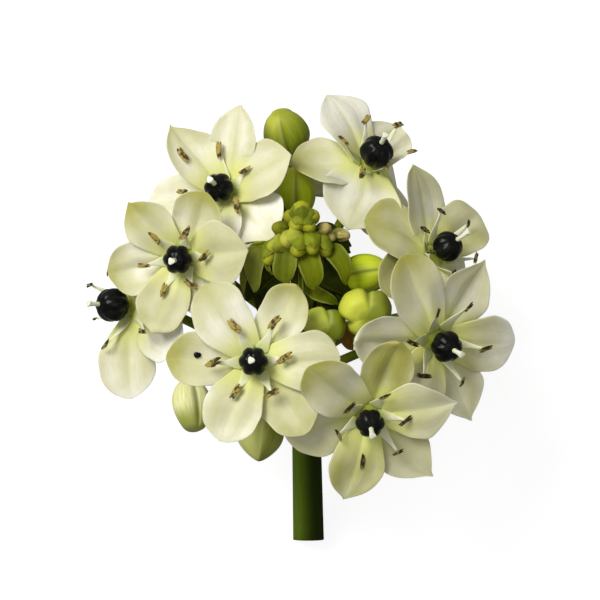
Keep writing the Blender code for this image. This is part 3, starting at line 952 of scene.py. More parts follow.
def plant_grain() -> bpy.types.NodeTree:
    """Makes the effect of a plant's uneven skin: soft blotches and a fine grain of cells.

    Returns:
        The shared effect.
    """
    outputs = ("blotches", "cells", "height")
    writer, taken, given = effect("Plant grain", {"blotch": 180.0, "cell": 2600.0}, outputs)
    place = writer.place()
    blotches = writer.noise(place, taken["blotch"], 3.0, 0.55)
    cells = writer.noise(place, taken["cell"], 2.0, 0.6)
    writer.feed(given["blotches"], blotches)
    writer.feed(given["cells"], cells)
    writer.feed(given["height"], writer.plus(writer.times(blotches, 1.4), writer.times(cells, 0.35)))
    return writer.tree


def leaf_veins() -> bpy.types.NodeTree:
    """Makes the effect of veins that run along a leaf and close at its ends.

    Returns:
        The shared effect.
    """
    outputs = ("lines", "middle", "height")
    writer, taken, given = effect("Leaf veins", {"count": 9.0, "waver": 0.5}, outputs)
    side, share, _ = writer.parts("leaf")
    drift = writer.noise(writer.vector(writer.times(side, 1.2), writer.times(share, 2.0)), 2.2)
    shift = writer.times(writer.math("SUBTRACT", drift, 0.5), taken["waver"])
    wide = writer.times(writer.plus(side, shift), taken["count"])
    wave = writer.math("ABSOLUTE", writer.math("SINE", writer.times(wide, math.pi / 2)))
    lines = writer.ramp(wave, 0.0, 0.75, 1.0, 0.0)
    breaks = writer.noise(writer.vector(writer.times(side, 5.0), share), 3.0)
    middle = writer.ramp(writer.math("ABSOLUTE", side), 0.0, 0.16, 1.0, 0.0)
    writer.feed(given["lines"], writer.times(lines, writer.ramp(breaks, 0.38, 0.62)))
    writer.feed(given["middle"], middle)
    sunk = writer.plus(writer.times(lines, 0.6), writer.times(middle, 0.8))
    writer.feed(given["height"], writer.math("SUBTRACT", 1.0, sunk))
    return writer.tree


def long_streaks() -> bpy.types.NodeTree:
    """Makes the effect of streaks that run from a stem's or bud's foot to its head.

    Returns:
        The shared effect.
    """
    outputs = ("streaks", "fine", "height")
    writer, taken, given = effect("Long streaks", {"around": 4.0, "along": 1.5}, outputs)
    across, over, share = writer.parts("skin")
    ways = [writer.times(value, taken["around"]) for value in (across, over)]
    fine_ways = [writer.times(value, 3.2) for value in ways]
    up = writer.times(share, taken["along"])
    coarse = writer.noise(writer.vector(*ways, up), 2.0, 2.0)
    fine = writer.noise(writer.vector(*fine_ways, up), 2.0, 3.0, 0.6)
    writer.feed(given["streaks"], coarse)
    writer.feed(given["fine"], fine)
    writer.feed(given["height"], writer.plus(coarse, writer.times(fine, 0.6)))
    return writer.tree


class SharedEffects:
    """The effects that several finishes use, each built once."""

    def __init__(self) -> None:
        """Builds the effects."""
        self.grain = plant_grain()
        self.veins = leaf_veins()
        self.streaks = long_streaks()


@dataclass(frozen=True)
class Finish:
    """A finish: its name, its range of gloss, its relief in millimetres, and its shader's fixed values."""

    name: str
    roughness: tuple[float, float]
    relief: float
    specular: float = 0.25
    subsurface: float = 0.0

    def material(self, effects: SharedEffects) -> bpy.types.Material:
        """Makes the material.

        Args:
            effects: The shared effects.

        Returns:
            The material.
        """
        made = bpy.data.materials.new(self.name)
        made.use_nodes = True
        writer = NodeWriter(made.node_tree)
        shader = writer.shader()
        shader.inputs["Specular IOR Level"].default_value = self.specular
        if self.subsurface:
            shader.inputs["Subsurface Weight"].default_value = self.subsurface
            shader.inputs["Subsurface Radius"].default_value = SPREAD
            shader.inputs["Subsurface Scale"].default_value = 1.0
        colour, uneven, height = self.pattern(writer, effects)
        writer.feed(shader.inputs["Base Color"], colour)
        writer.feed(shader.inputs["Roughness"], writer.ramp(uneven, 0.25, 0.75, *self.roughness))
        raised = writer.node("ShaderNodeBump")
        raised.inputs["Strength"].default_value = RELIEF_STRENGTH
        raised.inputs["Distance"].default_value = self.relief * MM
        writer.feed(raised.inputs["Height"], height)
        writer.feed(shader.inputs["Normal"], raised.outputs[0])
        return made

    def pattern(self, writer: NodeWriter, effects: SharedEffects) -> Pattern:
        """Works out the colour, the unevenness of the gloss, and the height of the relief.

        Args:
            writer: What writes the material's nodes.
            effects: The shared effects.

        Returns:
            The colour, the unevenness and the height.
        """
        raise NotImplementedError


@dataclass(frozen=True)
class TepalFinish(Finish):
    """White tepals, green at the foot, olive with painted shade and their own greenish tint.

    They have soft veins, painted shade along the mid-groove and a pale rim.
    """

    white: Colour = (0.88, 0.85, 0.71)
    cream: Colour = (0.61, 0.595, 0.36)
    olive: Colour = (0.37, 0.355, 0.07)
    foot: Colour = (0.69, 0.70, 0.22)
    # The vein colour also paints the shade along the mid-groove.
    vein_and_groove_shade: Colour = (0.52, 0.54, 0.20)

    def pattern(self, writer: NodeWriter, effects: SharedEffects) -> Pattern:
        """Works out the colour, the unevenness of the gloss, and the height of the relief.

        Args:
            writer: What writes the material's nodes.
            effects: The shared effects.

        Returns:
            The colour, the unevenness and the height.
        """
        side, share, tone = writer.parts("leaf")
        grain = writer.shared(effects.grain, blotch=150.0, cell=2400.0)
        veins = writer.shared(effects.veins, count=9.0, waver=0.5)
        edge = writer.math("ABSOLUTE", side)
        drift = writer.times(writer.math("SUBTRACT", grain["blotches"], 0.5), 0.45)
        # The tone and its blotches, a little stronger towards the tip, turn white to cream and then olive:
        # painted shade along with the tepal's own greenish tint.
        ahead = writer.times(writer.ramp(share, 0.45, 0.95), 0.14)
        dark = writer.math("ADD", writer.plus(tone, drift), writer.times(ahead, tone), clamp=True)
        colour = writer.mix(writer.ramp(dark, 0.0, 0.50), self.white, self.cream)
        colour = writer.mix(writer.ramp(dark, 0.40, 1.0), colour, self.olive)
        faint = writer.times(veins["lines"], writer.ramp(edge, 0.35, 0.95, 0.22, 0.04))
        colour = writer.mix(faint, colour, self.vein_and_groove_shade)
        # Painted shade along the mid-groove, in the vein colour.
        keel = writer.times(veins["middle"], writer.ramp(share, 0.35, 0.9, 0.45, 0.05))
        colour = writer.mix(keel, colour, self.vein_and_groove_shade)
        foot = writer.ramp(writer.plus(share, writer.times(drift, 0.25)), 0.08, 0.52, 0.95, 0.0)
        colour = writer.mix(foot, colour, self.foot)
        rim = writer.times(writer.ramp(edge, 0.90, 0.99), 0.12)
        colour = writer.mix(rim, colour, self.white)
        return colour, grain["blotches"], writer.plus(grain["height"], writer.times(veins["height"], 0.8))


@dataclass(frozen=True)
class GreenFinish(Finish):
    """A green body with streaks from foot to head, paler towards one end, with painted light and painted
    shade.
    """

    light: Colour = (0.36, 0.44, 0.030)
    deep: Colour = (0.22, 0.29, 0.012)
    head: Colour = (0.50, 0.53, 0.060)
    edge: Colour = (0.66, 0.68, 0.24)
    shade: Colour = (0.07, 0.10, 0.003)
    head_from: float = 0.7
    around: float = 4.0
    along: float = 1.5
    # How strongly painted shade darkens one side of the body.
    painted_side_shade: float = 0.0
    mottled: float = 0.0

    def pattern(self, writer: NodeWriter, effects: SharedEffects) -> Pattern:
        """Works out the colour, the unevenness of the gloss, and the height of the relief.

        Args:
            writer: What writes the material's nodes.
            effects: The shared effects.

        Returns:
            The colour, the unevenness and the height.
        """
        across, _, share = writer.parts("skin")
        # The painted light and painted shade that the piece keeps at its points.
        pale, dark, _ = writer.parts("painted_light_and_shade")
        grain = writer.shared(effects.grain, blotch=120.0, cell=2200.0)
        streaks = writer.shared(effects.streaks, around=self.around, along=self.along)
        lines = writer.ramp(streaks["streaks"], 0.30, 0.74, 0.15, 0.85)
        fine = writer.ramp(streaks["fine"], 0.40, 0.62, 0.0, 0.5)
        colour = writer.mix(lines, self.light, self.deep)
        colour = writer.mix(fine, colour, self.light)
        spots = writer.noise(writer.place(), 700.0, 3.0, 0.6)
        colour = writer.mix(writer.ramp(spots, 0.50, 0.66, 0.0, self.mottled), colour, self.edge)
        colour = writer.mix(writer.ramp(spots, 0.34, 0.50, self.mottled, 0.0), colour, self.shade)
        ahead = writer.plus(share, writer.times(grain["blotches"], 0.2))
        head = writer.ramp(ahead, self.head_from, self.head_from + 0.35, 0.0, 0.8)
        colour = writer.mix(head, colour, self.head)
        # Painted shade: seams, shaded lobes and the feet of young buds.
        colour = writer.mix(writer.times(dark, 0.85), colour, self.shade)
        # Painted shade down one side of the body.
        colour = writer.mix(writer.ramp(across, -0.9, 0.5, 0.0, self.painted_side_shade), colour, self.shade)
        # Painted light: highlights on overlapping edges and lobes turned to the light.
        colour = writer.mix(writer.math("MULTIPLY", pale, 0.6, clamp=True), colour, self.edge)
        return colour, grain["blotches"], writer.plus(grain["height"], writer.times(streaks["height"], 0.5))


@dataclass(frozen=True)
class BractFinish(Finish):
    """A leafy bract with veins, drier and browner towards its tip, and made paler by painted light where it
    lies in shade.
    """

    fresh: Colour = (0.20, 0.26, 0.015)
    pale: Colour = (0.40, 0.44, 0.06)
    edge: Colour = (0.46, 0.48, 0.14)
    dry: Colour = (0.36, 0.25, 0.05)
    dry_from: float = 0.8

    def pattern(self, writer: NodeWriter, effects: SharedEffects) -> Pattern:
        """Works out the colour, the unevenness of the gloss, and the height of the relief.

        Args:
            writer: What writes the material's nodes.
            effects: The shared effects.

        Returns:
            The colour, the unevenness and the height.
        """
        side, share, tone = writer.parts("leaf")
        grain = writer.shared(effects.grain, blotch=160.0, cell=2200.0)
        veins = writer.shared(effects.veins, count=11.0, waver=0.35)
        colour = writer.mix(writer.ramp(grain["blotches"], 0.35, 0.65), self.fresh, self.pale)
        colour = writer.mix(writer.times(veins["lines"], 0.5), colour, self.fresh)
        edge = writer.ramp(writer.math("ABSOLUTE", side), 0.80, 1.0, 0.0, 0.6)
        colour = writer.mix(edge, colour, self.edge)
        # Painted light: bracts that lie in shade are mixed towards the pale edge colour.
        colour = writer.mix(tone, colour, self.edge)
        colour = writer.mix(writer.ramp(share, 0.0, 0.5, 0.8, 0.0), colour, self.fresh)
        ahead = writer.plus(share, writer.times(grain["blotches"], 0.3))
        colour = writer.mix(writer.ramp(ahead, self.dry_from, self.dry_from + 0.4), colour, self.dry)
        return colour, grain["blotches"], writer.plus(grain["height"], writer.times(veins["height"], 1.2))


@dataclass(frozen=True)
class SpottedFinish(Finish):
    """A body whose two colours lie in uneven patches, as on anthers, ovaries and styles."""

    ground: Colour = (0.30, 0.25, 0.07)
    patch: Colour = (0.05, 0.035, 0.012)
    patch_from: float = 0.5
    patch_size: float = 700.0
    foot: Colour = (0.30, 0.25, 0.07)
    foot_until: float = 0.1

    def pattern(self, writer: NodeWriter, effects: SharedEffects) -> Pattern:
        """Works out the colour, the unevenness of the gloss, and the height of the relief.

        Args:
            writer: What writes the material's nodes.
            effects: The shared effects.

        Returns:
            The colour, the unevenness and the height.
        """
        _, _, share = writer.parts("skin")
        grain = writer.shared(effects.grain, blotch=self.patch_size, cell=3200.0)
        spread = writer.ramp(grain["blotches"], self.patch_from - 0.06, self.patch_from + 0.06)
        colour = writer.mix(spread, self.ground, self.patch)
        colour = writer.mix(writer.ramp(share, 0.0, self.foot_until, 1.0, 0.0), colour, self.foot)
        return colour, grain["cells"], grain["height"]


FINISHES = (
    TepalFinish("tepal white", (0.45, 0.65), 0.05, 0.25, subsurface=0.25),
    SpottedFinish("filament green-white", (0.40, 0.60), 0.04, 0.35, ground=(0.82, 0.81, 0.60),
                  patch=(0.74, 0.75, 0.46), patch_size=300.0, foot=(0.50, 0.55, 0.14), foot_until=0.6),
    SpottedFinish("anther olive", (0.55, 0.85), 0.09, 0.25, ground=(0.36, 0.27, 0.06), patch_from=0.53),
    SpottedFinish("anther dark", (0.55, 0.85), 0.09, 0.2, ground=(0.22, 0.20, 0.06),
                  patch=(0.03, 0.02, 0.008), patch_from=0.47),
    SpottedFinish("ovary black", (0.12, 0.26), 0.07, 0.10, ground=(0.003, 0.0035, 0.003),
                  patch=(0.007, 0.008, 0.006), patch_size=260.0, foot=(0.006, 0.007, 0.005)),
    SpottedFinish("style cream", (0.30, 0.50), 0.03, 0.3, ground=(0.80, 0.80, 0.64),
                  patch=(0.80, 0.82, 0.62), patch_size=500.0, foot=(0.55, 0.60, 0.30), foot_until=0.5),
    GreenFinish("receptacle green", (0.40, 0.60), 0.05, light=(0.42, 0.46, 0.08), head_from=0.8),
    # These two are darker and lighter copies of one green: painted shade for the top bud in full light,
    # painted light for the buds in shade.
    GreenFinish("bud green with painted shade", (0.36, 0.56), 0.05, 0.2, light=(0.33, 0.39, 0.02), deep=(0.19, 0.24, 0.008),
                head=(0.42, 0.44, 0.04)),
    GreenFinish("bud fresh with painted light", (0.36, 0.56), 0.05, 0.2, light=(0.60, 0.70, 0.02), deep=(0.42, 0.52, 0.01),
                head=(0.62, 0.68, 0.05)),
    GreenFinish("bud bright", (0.36, 0.56), 0.05, 0.2, light=(0.46, 0.53, 0.04), deep=(0.36, 0.43, 0.02),
                head=(0.64, 0.66, 0.07), head_from=0.45, edge=(0.72, 0.73, 0.16)),
    GreenFinish("bud whitening", (0.38, 0.58), 0.05, 0.2, light=(0.79, 0.77, 0.44), deep=(0.50, 0.51, 0.09),
                head=(0.22, 0.25, 0.01), head_from=0.58),
    GreenFinish("bud olive", (0.38, 0.58), 0.05, 0.2, light=(0.60, 0.61, 0.13), deep=(0.32, 0.34, 0.02),
                head=(0.20, 0.21, 0.015), head_from=0.8),
    GreenFinish("crown green", (0.42, 0.62), 0.05, 0.06, light=(0.25, 0.28, 0.003),
                deep=(0.13, 0.16, 0.003), head=(0.38, 0.38, 0.02), head_from=0.75, around=3.0,
                edge=(0.54, 0.53, 0.10), shade=(0.03, 0.04, 0.001), mottled=0.45),
    GreenFinish("bud withered", (0.60, 0.85), 0.12, 0.15, light=(0.34, 0.27, 0.07), deep=(0.17, 0.16, 0.02),
                head=(0.46, 0.34, 0.12), around=3.0, mottled=0.5),
    # The stem is painted darker down its right side, away from the key light: painted shade.
    GreenFinish("stem green", (0.50, 0.70), 0.04, 0.04, light=(0.12, 0.18, 0.014),
                deep=(0.07, 0.115, 0.004), head=(0.06, 0.09, 0.002), head_from=0.75, around=5.0, along=6.0,
                shade=(0.012, 0.020, 0.0005), painted_side_shade=0.95),
    GreenFinish("stalk green", (0.42, 0.60), 0.04, 0.12, light=(0.18, 0.22, 0.008),
                deep=(0.09, 0.12, 0.003), head=(0.25, 0.28, 0.03), around=3.0, along=3.0),
    BractFinish("bract green", (0.45, 0.65), 0.06, 0.07, fresh=(0.085, 0.11, 0.001),
                pale=(0.16, 0.185, 0.004), edge=(0.32, 0.33, 0.07), dry_from=1.05),
    BractFinish("bract fresh", (0.45, 0.65), 0.07, 0.07, fresh=(0.075, 0.10, 0.001),
                pale=(0.22, 0.26, 0.005), edge=(0.52, 0.54, 0.07), dry_from=1.05),
    # Nearly black: painted shade for the sheets deep in the crown.
    BractFinish("bract painted shade", (0.45, 0.65), 0.06, 0.1, fresh=(0.02, 0.03, 0.0005),
                pale=(0.05, 0.065, 0.001), edge=(0.08, 0.09, 0.006), dry_from=1.3),
    BractFinish("bract dry", (0.58, 0.82), 0.08, 0.12, fresh=(0.16, 0.17, 0.015),
                pale=(0.30, 0.27, 0.05), edge=(0.40, 0.33, 0.10), dry=(0.30, 0.15, 0.025), dry_from=0.45),
)


class Dresser:
    """Gives finished pieces their material and body."""

    def __init__(self) -> None:
        """Builds every material of the flower head."""
        effects = SharedEffects()
        self.materials = {finish.name: finish.material(effects) for finish in FINISHES}

    def dress(self, piece: Piece, finish: str, slot: str, *nodes: str) -> None:
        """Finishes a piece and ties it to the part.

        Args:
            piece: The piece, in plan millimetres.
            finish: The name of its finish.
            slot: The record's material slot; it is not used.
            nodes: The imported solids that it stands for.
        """
        settle(piece)
        piece.data.materials.clear()
        piece.data.materials.append(self.materials[finish])
        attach(piece, BODY)
        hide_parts(*nodes)
        LOG.info("%s: %d faces, %s", piece.name, len(piece.data.polygons), finish)


@dataclass
class Perianth:
    """The white body of one flower: six tepals over a green receptacle.

    Pairs hold the value of the wide upper tepals and that of the narrow lower ones. The keel, folds, wave,
    ruffle, warp and hood are the heights of a tepal's relief in millimetres.
    """

    plan: BloomPlan
    draw: random.Random
    widths: tuple[float, float] = (15.2, 13.4)
    root: float = 2.3
    root_heights: tuple[float, float] = (0.0, -0.9)
    arches: tuple[float, float] = (0.09, 0.03)
    cups: tuple[float, float] = (0.6, 1.2)
    keel: float = 0.62
    folds: float = 0.30
    wave: float = 0.22
    ruffle: float = 0.50
    warp: float = 0.40
    hood: float = 1.1
    widest: float = 0.58
    leaf: Leaf = Leaf()

    def half_width(self, share: Array, tip: Tip) -> Array:
        """Follows a tepal's outline as a share of its greatest half width.

        Args:
            share: How far along each point is, from 0 to 1.
            tip: How the tepal ends.

        Returns:
            The half width at each share, from 0 to 1.
        """
        full, closing, _ = tip.value
        low = 0.50 + 0.50 * np.sin(np.pi / 2 * np.clip(share / self.widest, 0, 1))**1.3
        part = np.clip((share - self.widest) / (1 - self.widest), 0, 1)
        return np.where(share < self.widest, low, (1 - part**full)**closing)

    def rows(self, row: Array) -> Array:
        """Spaces the rows of a tepal, closer together where its end rounds off."""
        end = np.sin(np.pi / 2 * np.clip((row - 0.5) / 0.5, 0, 1))
        return np.where(row < 0.5, row * 2 * self.widest, self.widest + (1 - self.widest) * end)

    def relief(self, index: int, phase: Sequence[float], side: Array, share: Array) -> Array:
        """Raises a tepal's skin: its cup, its keel, its folds, its wavy edges and its hooded end.

        Args:
            index: Which of the six it is.
            phase: Where each of its waves starts.
            side: The side of each point, from -1 to 1.
            share: How far along the tepal each point is.

        Returns:
            The height of each point in millimetres.
        """
        body = np.sin(np.pi * np.clip(share, 0, 1))
        inner = 1 - side**2
        cup = np.interp(share, (0, 0.28, 0.58, 0.85, 1), (0, 0.3, 1, 0.8, 0))
        high = self.cups[index % 2] * cup * side**2
        high -= self.keel * bell(side, 0, 0.14) * (1 - eased(0.55, 0.98, share)) * eased(0.02, 0.2, share)
        high += self.folds * np.cos(side * 6.0 + phase[0]) * body * inner
        high += self.wave * np.sin(5.5 * share + 3.0 * side + phase[3]) * body
        rippling = np.sin(2 * np.pi * 1.2 * share + phase[1] + np.sign(side) * 1.3)
        high += self.ruffle * rippling * np.abs(side)**3 * body
        high += self.warp * np.sin(2.2 * np.pi * share + phase[2]) * body * side
        if self.plan.tepals[index].tip is Tip.HOODED:
            high += eased(0.78, 1.0, share)**2 * self.hood * inner
        return high

    def tepal(self, index: int) -> Piece:
        """Models one tepal as an open sheet.

        Args:
            index: Which of the six it is; the even ones are wide and lie above the odd ones.

        Returns:
            The open tepal, with its side, share and shade kept at each point.
        """
        item = self.plan.tepals[index]
        lower = index % 2
        turn, lift = math.radians(item.turn), math.radians(item.lift)
        outward = outward_at(turn)
        root = outward * self.root + UP * self.root_heights[lower]
        tip = (outward * math.cos(lift) + UP * math.sin(lift)) * item.length
        arch = UP * item.length * self.arches[lower]
        corners = (root, root + (tip - root) * 0.33 + arch, root + (tip - root) * 0.67 + arch, tip)
        phase = [self.draw.uniform(0, 2 * math.pi) for _ in range(5)]
        lean = self.draw.uniform(-0.5, 0.5)
        width = self.widths[lower] * item.width / 2
        kept = {}

        def former(side: Array, row: Array) -> Array:
            """Places the points of the tepal by their side and row."""
            share = self.rows(row)
            ahead = slope_of(corners, share)
            twist = np.radians(item.twist) * np.minimum(1, 2 * share)
            across = turned(np.cross(UP, outward), ahead, twist)
            hand = np.sign(side) * 2
            ragged = 0.035 * np.sin(8 * share + phase[4] + hand)
            ragged = ragged + 0.015 * np.sin(21 * share + phase[3] - hand)
            half = self.half_width(share, item.tip) * (1 + ragged * eased(0.15, 0.5, share))
            sway = lean * np.sin(np.pi * share) + 0.12 * np.sin(9 * share + phase[3]) * side**2
            point = item.tip.value[2] * eased(0.93, 1.0, (share - self.widest) / (1 - self.widest))
            # The ribs paint shade in bands that follow the tepal's folds and waves; the tone carries the
            # tepal's painted shade to its material.
            ribs = 0.07 * np.cos(side * 7 + phase[0]) + 0.04 * np.sin(5.5 * share + 3.0 * side + phase[3])
            tone = item.shade + item.fade * (share - 0.55) + ribs * np.sin(np.pi * np.clip(share, 0, 1))
            kept["leaf"] = np.stack((side, share, tone), 1)
            return beside(bezier(corners, share), (across, side * half * width + sway),
                          (np.cross(ahead, across), self.relief(index, phase, side, share)), (ahead, point))

        made = sheet(f"tepal_{index}", former, self.leaf.across, self.leaf.along)
        note(made, "leaf", kept["leaf"])
        return made

    def receptacle(self) -> Piece:
        """Models the short green cone that carries the tepals.

        Returns:
            The receptacle.
        """
        def former(angle: Array, share: Array) -> Array:
            """Places the points of the receptacle by their angle and share."""
            high = np.interp(share, (0, 0.08, 0.78, 0.9, 1), (-3.4, -3.0, -0.4, 0.25, 0.5))
            wide = np.interp(share, (0, 0.08, 0.4, 0.78, 0.9, 1), (0, 1.35, 2.1, 3.3, 2.9, 0))
            return about(angle, wide * (1 + 0.05 * np.cos(6 * angle)), high)

        return refine(pod(f"receptacle_{self.plan.name}", former, 24, 14))

    def build(self, dresser: Dresser) -> None:
        """Models and dresses the tepals and the receptacle.

        Args:
            dresser: What finishes the pieces.
        """
        tepals = self.leaf.close([self.tepal(index) for index in range(6)], f"tepals_{self.plan.name}")
        for piece, finish, slot in ((tepals, "tepal white", "tepal_white"),
                                    (self.receptacle(), "receptacle green", "bud_green")):
            carry(piece, self.plan.seat, self.plan.facing)
            dresser.dress(piece, finish, slot, f"bloom_{self.plan.name}_perianth")


@dataclass
class Stamens:
    """The six stamens of one flower: flat filaments with two-lobed anthers."""

    plan: BloomPlan
    anthers: Sequence[Piece]
    draw: random.Random
    foot: float = 2.6
    foot_width: float = 5.4
    end_width: float = 0.80
    lowered: float = 0.8
    usual_size: float = 4.0
    ripe_from: float = 0.75

    def filament(self, item: StamenPlan) -> Piece:
        """Models one filament, broad at its foot and narrow under the anther.

        Args:
            item: The stamen's plan.

        Returns:
            The filament.
        """
        outward = outward_at(math.radians(item.turn))
        start = outward * self.foot + UP * 0.5
        end = outward * item.reach + UP * item.height * self.lowered
        span = item.reach - self.foot
        corners = (start, start + outward * span * 0.45 + UP * 0.2, end - outward * span * 0.25 - UP, end)
        flat = np.cross(UP, outward)

        def former(angle: Array, share: Array) -> Array:
            """Places the points of the filament by their angle and share."""
            shut = np.clip(np.sin(np.pi * share) * 8, 0, 1)**0.5
            wide = (self.end_width + (self.foot_width - self.end_width) * (1 - share)**2.1) / 2 * shut
            deep = (0.42 - 0.12 * share) / 2 * shut
            return beside(bezier(corners, share), (flat, wide * np.cos(angle)),
                          (np.cross(slope_of(corners, share), flat),
                           deep * np.sin(angle) * (1 + 0.5 * np.cos(angle)**2)))

        return pod("filament", former, 8, 12)

    def anther(self, item: StamenPlan) -> Piece:
        """Copies an anther to the end of its filament.

        Args:
            item: The stamen's plan.

        Returns:
            The anther.
        """
        made = copy_of(self.draw.choice(self.anthers), "anther")
        end = outward_at(math.radians(item.turn)) * item.reach + UP * (item.height * self.lowered + 0.4)
        spin = Matrix.Rotation(math.radians(item.spin), 4, "Z")
        nod = Matrix.Rotation(self.draw.uniform(-0.25, 0.25), 4, "Y")
        size = item.size / self.usual_size
        slim = size * (0.98 - 0.42 * self.plan.dry)
        scale = Matrix.Diagonal((size, slim, slim, 1.0))
        made.data.transform(Matrix.Translation(Vector(end)) @ spin @ nod @ scale)
        return made

    def build(self, dresser: Dresser) -> None:
        """Models and dresses the filaments and the anthers.

        Args:
            dresser: What finishes the pieces.
        """
        name, items = self.plan.name, self.plan.stamens
        filaments = refine(joined([self.filament(item) for item in items], f"filaments_{name}"))
        anthers = joined([self.anther(item) for item in items], f"anthers_{name}")
        ripe = "anther dark" if self.plan.dry > self.ripe_from else "anther olive"
        for piece, finish in ((filaments, "filament green-white"), (anthers, ripe)):
            carry(piece, self.plan.seat, self.plan.facing)
            dresser.dress(piece, finish, "tepal_white", f"bloom_{name}_perianth")


@dataclass
class AntherPattern:
    """A ripe anther of two lobes that part at one end."""

    gape: float
    bend: float
    length: float = 4.5
    width: float = 1.25

    def lobe(self, hand: int, draw: random.Random) -> Piece:
        """Models the lobe on one side.

        Args:
            hand: The side, -1 or 1.
            draw: What its uneven shape is drawn from.

        Returns:
            The lobe.
        """
        phase = draw.uniform(0, 6.28)
        lift = draw.uniform(-0.15, 0.15)

        def former(angle: Array, share: Array) -> Array:
            """Places the points of the lobe by their angle and share."""
            thick = np.sin(np.pi * np.clip(share, 0, 1))**0.55 * self.width / 2
            thick = thick * (1 + 0.16 * np.sin(share * 13 + phase)) * (1 - 0.28 * bell(angle, 1.57, 0.35))
            along = (share - 0.5) * self.length * (1 + 0.06 * hand)
            aside = hand * (0.38 + self.gape * eased(0.55, 1.0, share)) + 0.16 * np.sin(share * 6 + phase)
            over = self.bend * (1 - (2 * share - 1)**2) + lift
            return np.stack((along, aside + thick * np.cos(angle), over + thick * np.sin(angle) * 0.85), 1)

        return pod("lobe", former, 9, 10)

    def build(self, name: str, seed: int) -> Piece:
        """Models the anther about the origin, along +X.

        Args:
            name: Its name.
            seed: What its uneven shape is drawn from.

        Returns:
            The anther.
        """
        draw = random.Random(seed)
        made = joined([self.lobe(hand, draw) for hand in (-1, 1)], name)
        with editing():
            bpy.ops.mesh.select_all(action="SELECT")
            bpy.ops.mesh.normals_make_consistent(inside=False)
        return refine(made)


@dataclass
class Pistil:
    """The glossy black ovary of one flower with the style on its tip."""

    plan: BloomPlan
    foot: float = 0.8
    radius: float = 4.0
    height: float = 8.2
    groove: float = 0.17
    fold: float = 0.05
    wrinkle: float = 0.012
    style_radius: float = 0.64

    def ovary(self) -> Piece:
        """Models the ovary with its six lobes and the lesser folds between them.

        Returns:
            The ovary.
        """
        swell = self.plan.swell

        def former(angle: Array, share: Array) -> Array:
            """Places the points of the ovary by their angle and share."""
            belly = np.sin(np.pi * np.clip(share, 0, 1))**0.62
            crest = np.abs(np.cos(3 * angle))**0.55
            fold = np.abs(np.cos(6 * angle + 0.6))**0.7
            wrinkle = self.wrinkle * np.sin(17 * angle + 9 * share) * np.sin(23 * share + 3 * np.cos(angle))
            sunk = self.groove * (1 - crest) + self.fold * (1 - fold) + wrinkle
            sunk = sunk * np.sin(np.pi * share)**0.5
            high = self.height * share - 0.7 * eased(0.86, 1.0, share) * (1 - crest * 0.4)
            return about(angle, self.radius * swell * belly * (1 - sunk), self.foot + high * swell)

        return refine(pod(f"ovary_{self.plan.name}", former, 42, 22))

    def style(self) -> Piece:
        """Models the style, which widens into its three-lobed stigma.

        Returns:
            The style.
        """
        low = self.foot + self.height * self.plan.swell - 1.0
        size = self.plan.style + 1.0

        def former(angle: Array, share: Array) -> Array:
            """Places the points of the style by their angle and share."""
            wide = np.interp(share, (0, 0.06, 0.3, 0.75, 0.93, 1), (0, 1.1, 0.9, 1.15, 1.5, 0))
            wide = self.style_radius * wide * (1 + 0.16 * np.cos(3 * angle) * eased(0.55, 0.9, share))
            return about(angle, wide, low + size * share - 0.35 * eased(0.9, 1.0, share))

        return refine(pod(f"style_{self.plan.name}", former, 18, 14))

    def build(self, dresser: Dresser) -> None:
        """Models and dresses the ovary and the style.

        Args:
            dresser: What finishes the pieces.
        """
        name, lean = self.plan.name, self.plan.lean
        facing = unit(self.plan.facing) * (1 - lean) + UP * lean
        for piece, finish, slot, node in (
                (self.ovary(), "ovary black", "ovary_black", f"bloom_{name}_ovary"),
                (self.style(), "style cream", "style_cream", f"bloom_{name}_style")):
            dresser.dress(carry(piece, self.plan.seat, facing), finish, slot, node)


@dataclass
class DarkGrain:
    """The dark grain of soil that lies on a tepal of the front flower."""

    place: tuple[float, float] = (-26.3, -14.1)
    length: float = 2.0
    width: float = 1.6
    height: float = 1.0
    sunk: float = 0.3
    reach: float = 0.7

    def build(self, dresser: Dresser, tepals: Piece) -> None:
        """Models the grain and lays it on the tepal under it.

        Args:
            dresser: What finishes it.
            tepals: The tepals, in the frame's metres.
        """
        points = points_of(tepals) / MM + PLAN_CENTRE
        near = np.hypot(*(points[:, :2] - np.array(self.place)).T) < self.reach
        top = float(np.mean(np.sort(points[near, 2])[-4:]))

        def former(angle: Array, share: Array) -> Array:
            """Places the points of the grain by their angle and share."""
            uneven = 1 + 0.10 * np.sin(3 * angle + 1) + 0.06 * np.cos(5 * angle + 6 * share)
            wide = np.sin(np.pi * share)**0.6 * uneven
            return np.stack((wide * np.cos(angle) * self.length / 2, wide * np.sin(angle) * self.width / 2,
                             (share - self.sunk) * self.height), 1)

        made = refine(pod("dark_grain", former, 16, 10))
        move_points(made, points_of(made) + np.array((*self.place, top)))
        dresser.dress(made, "ovary black", "ovary_black", "bloom_front_perianth")


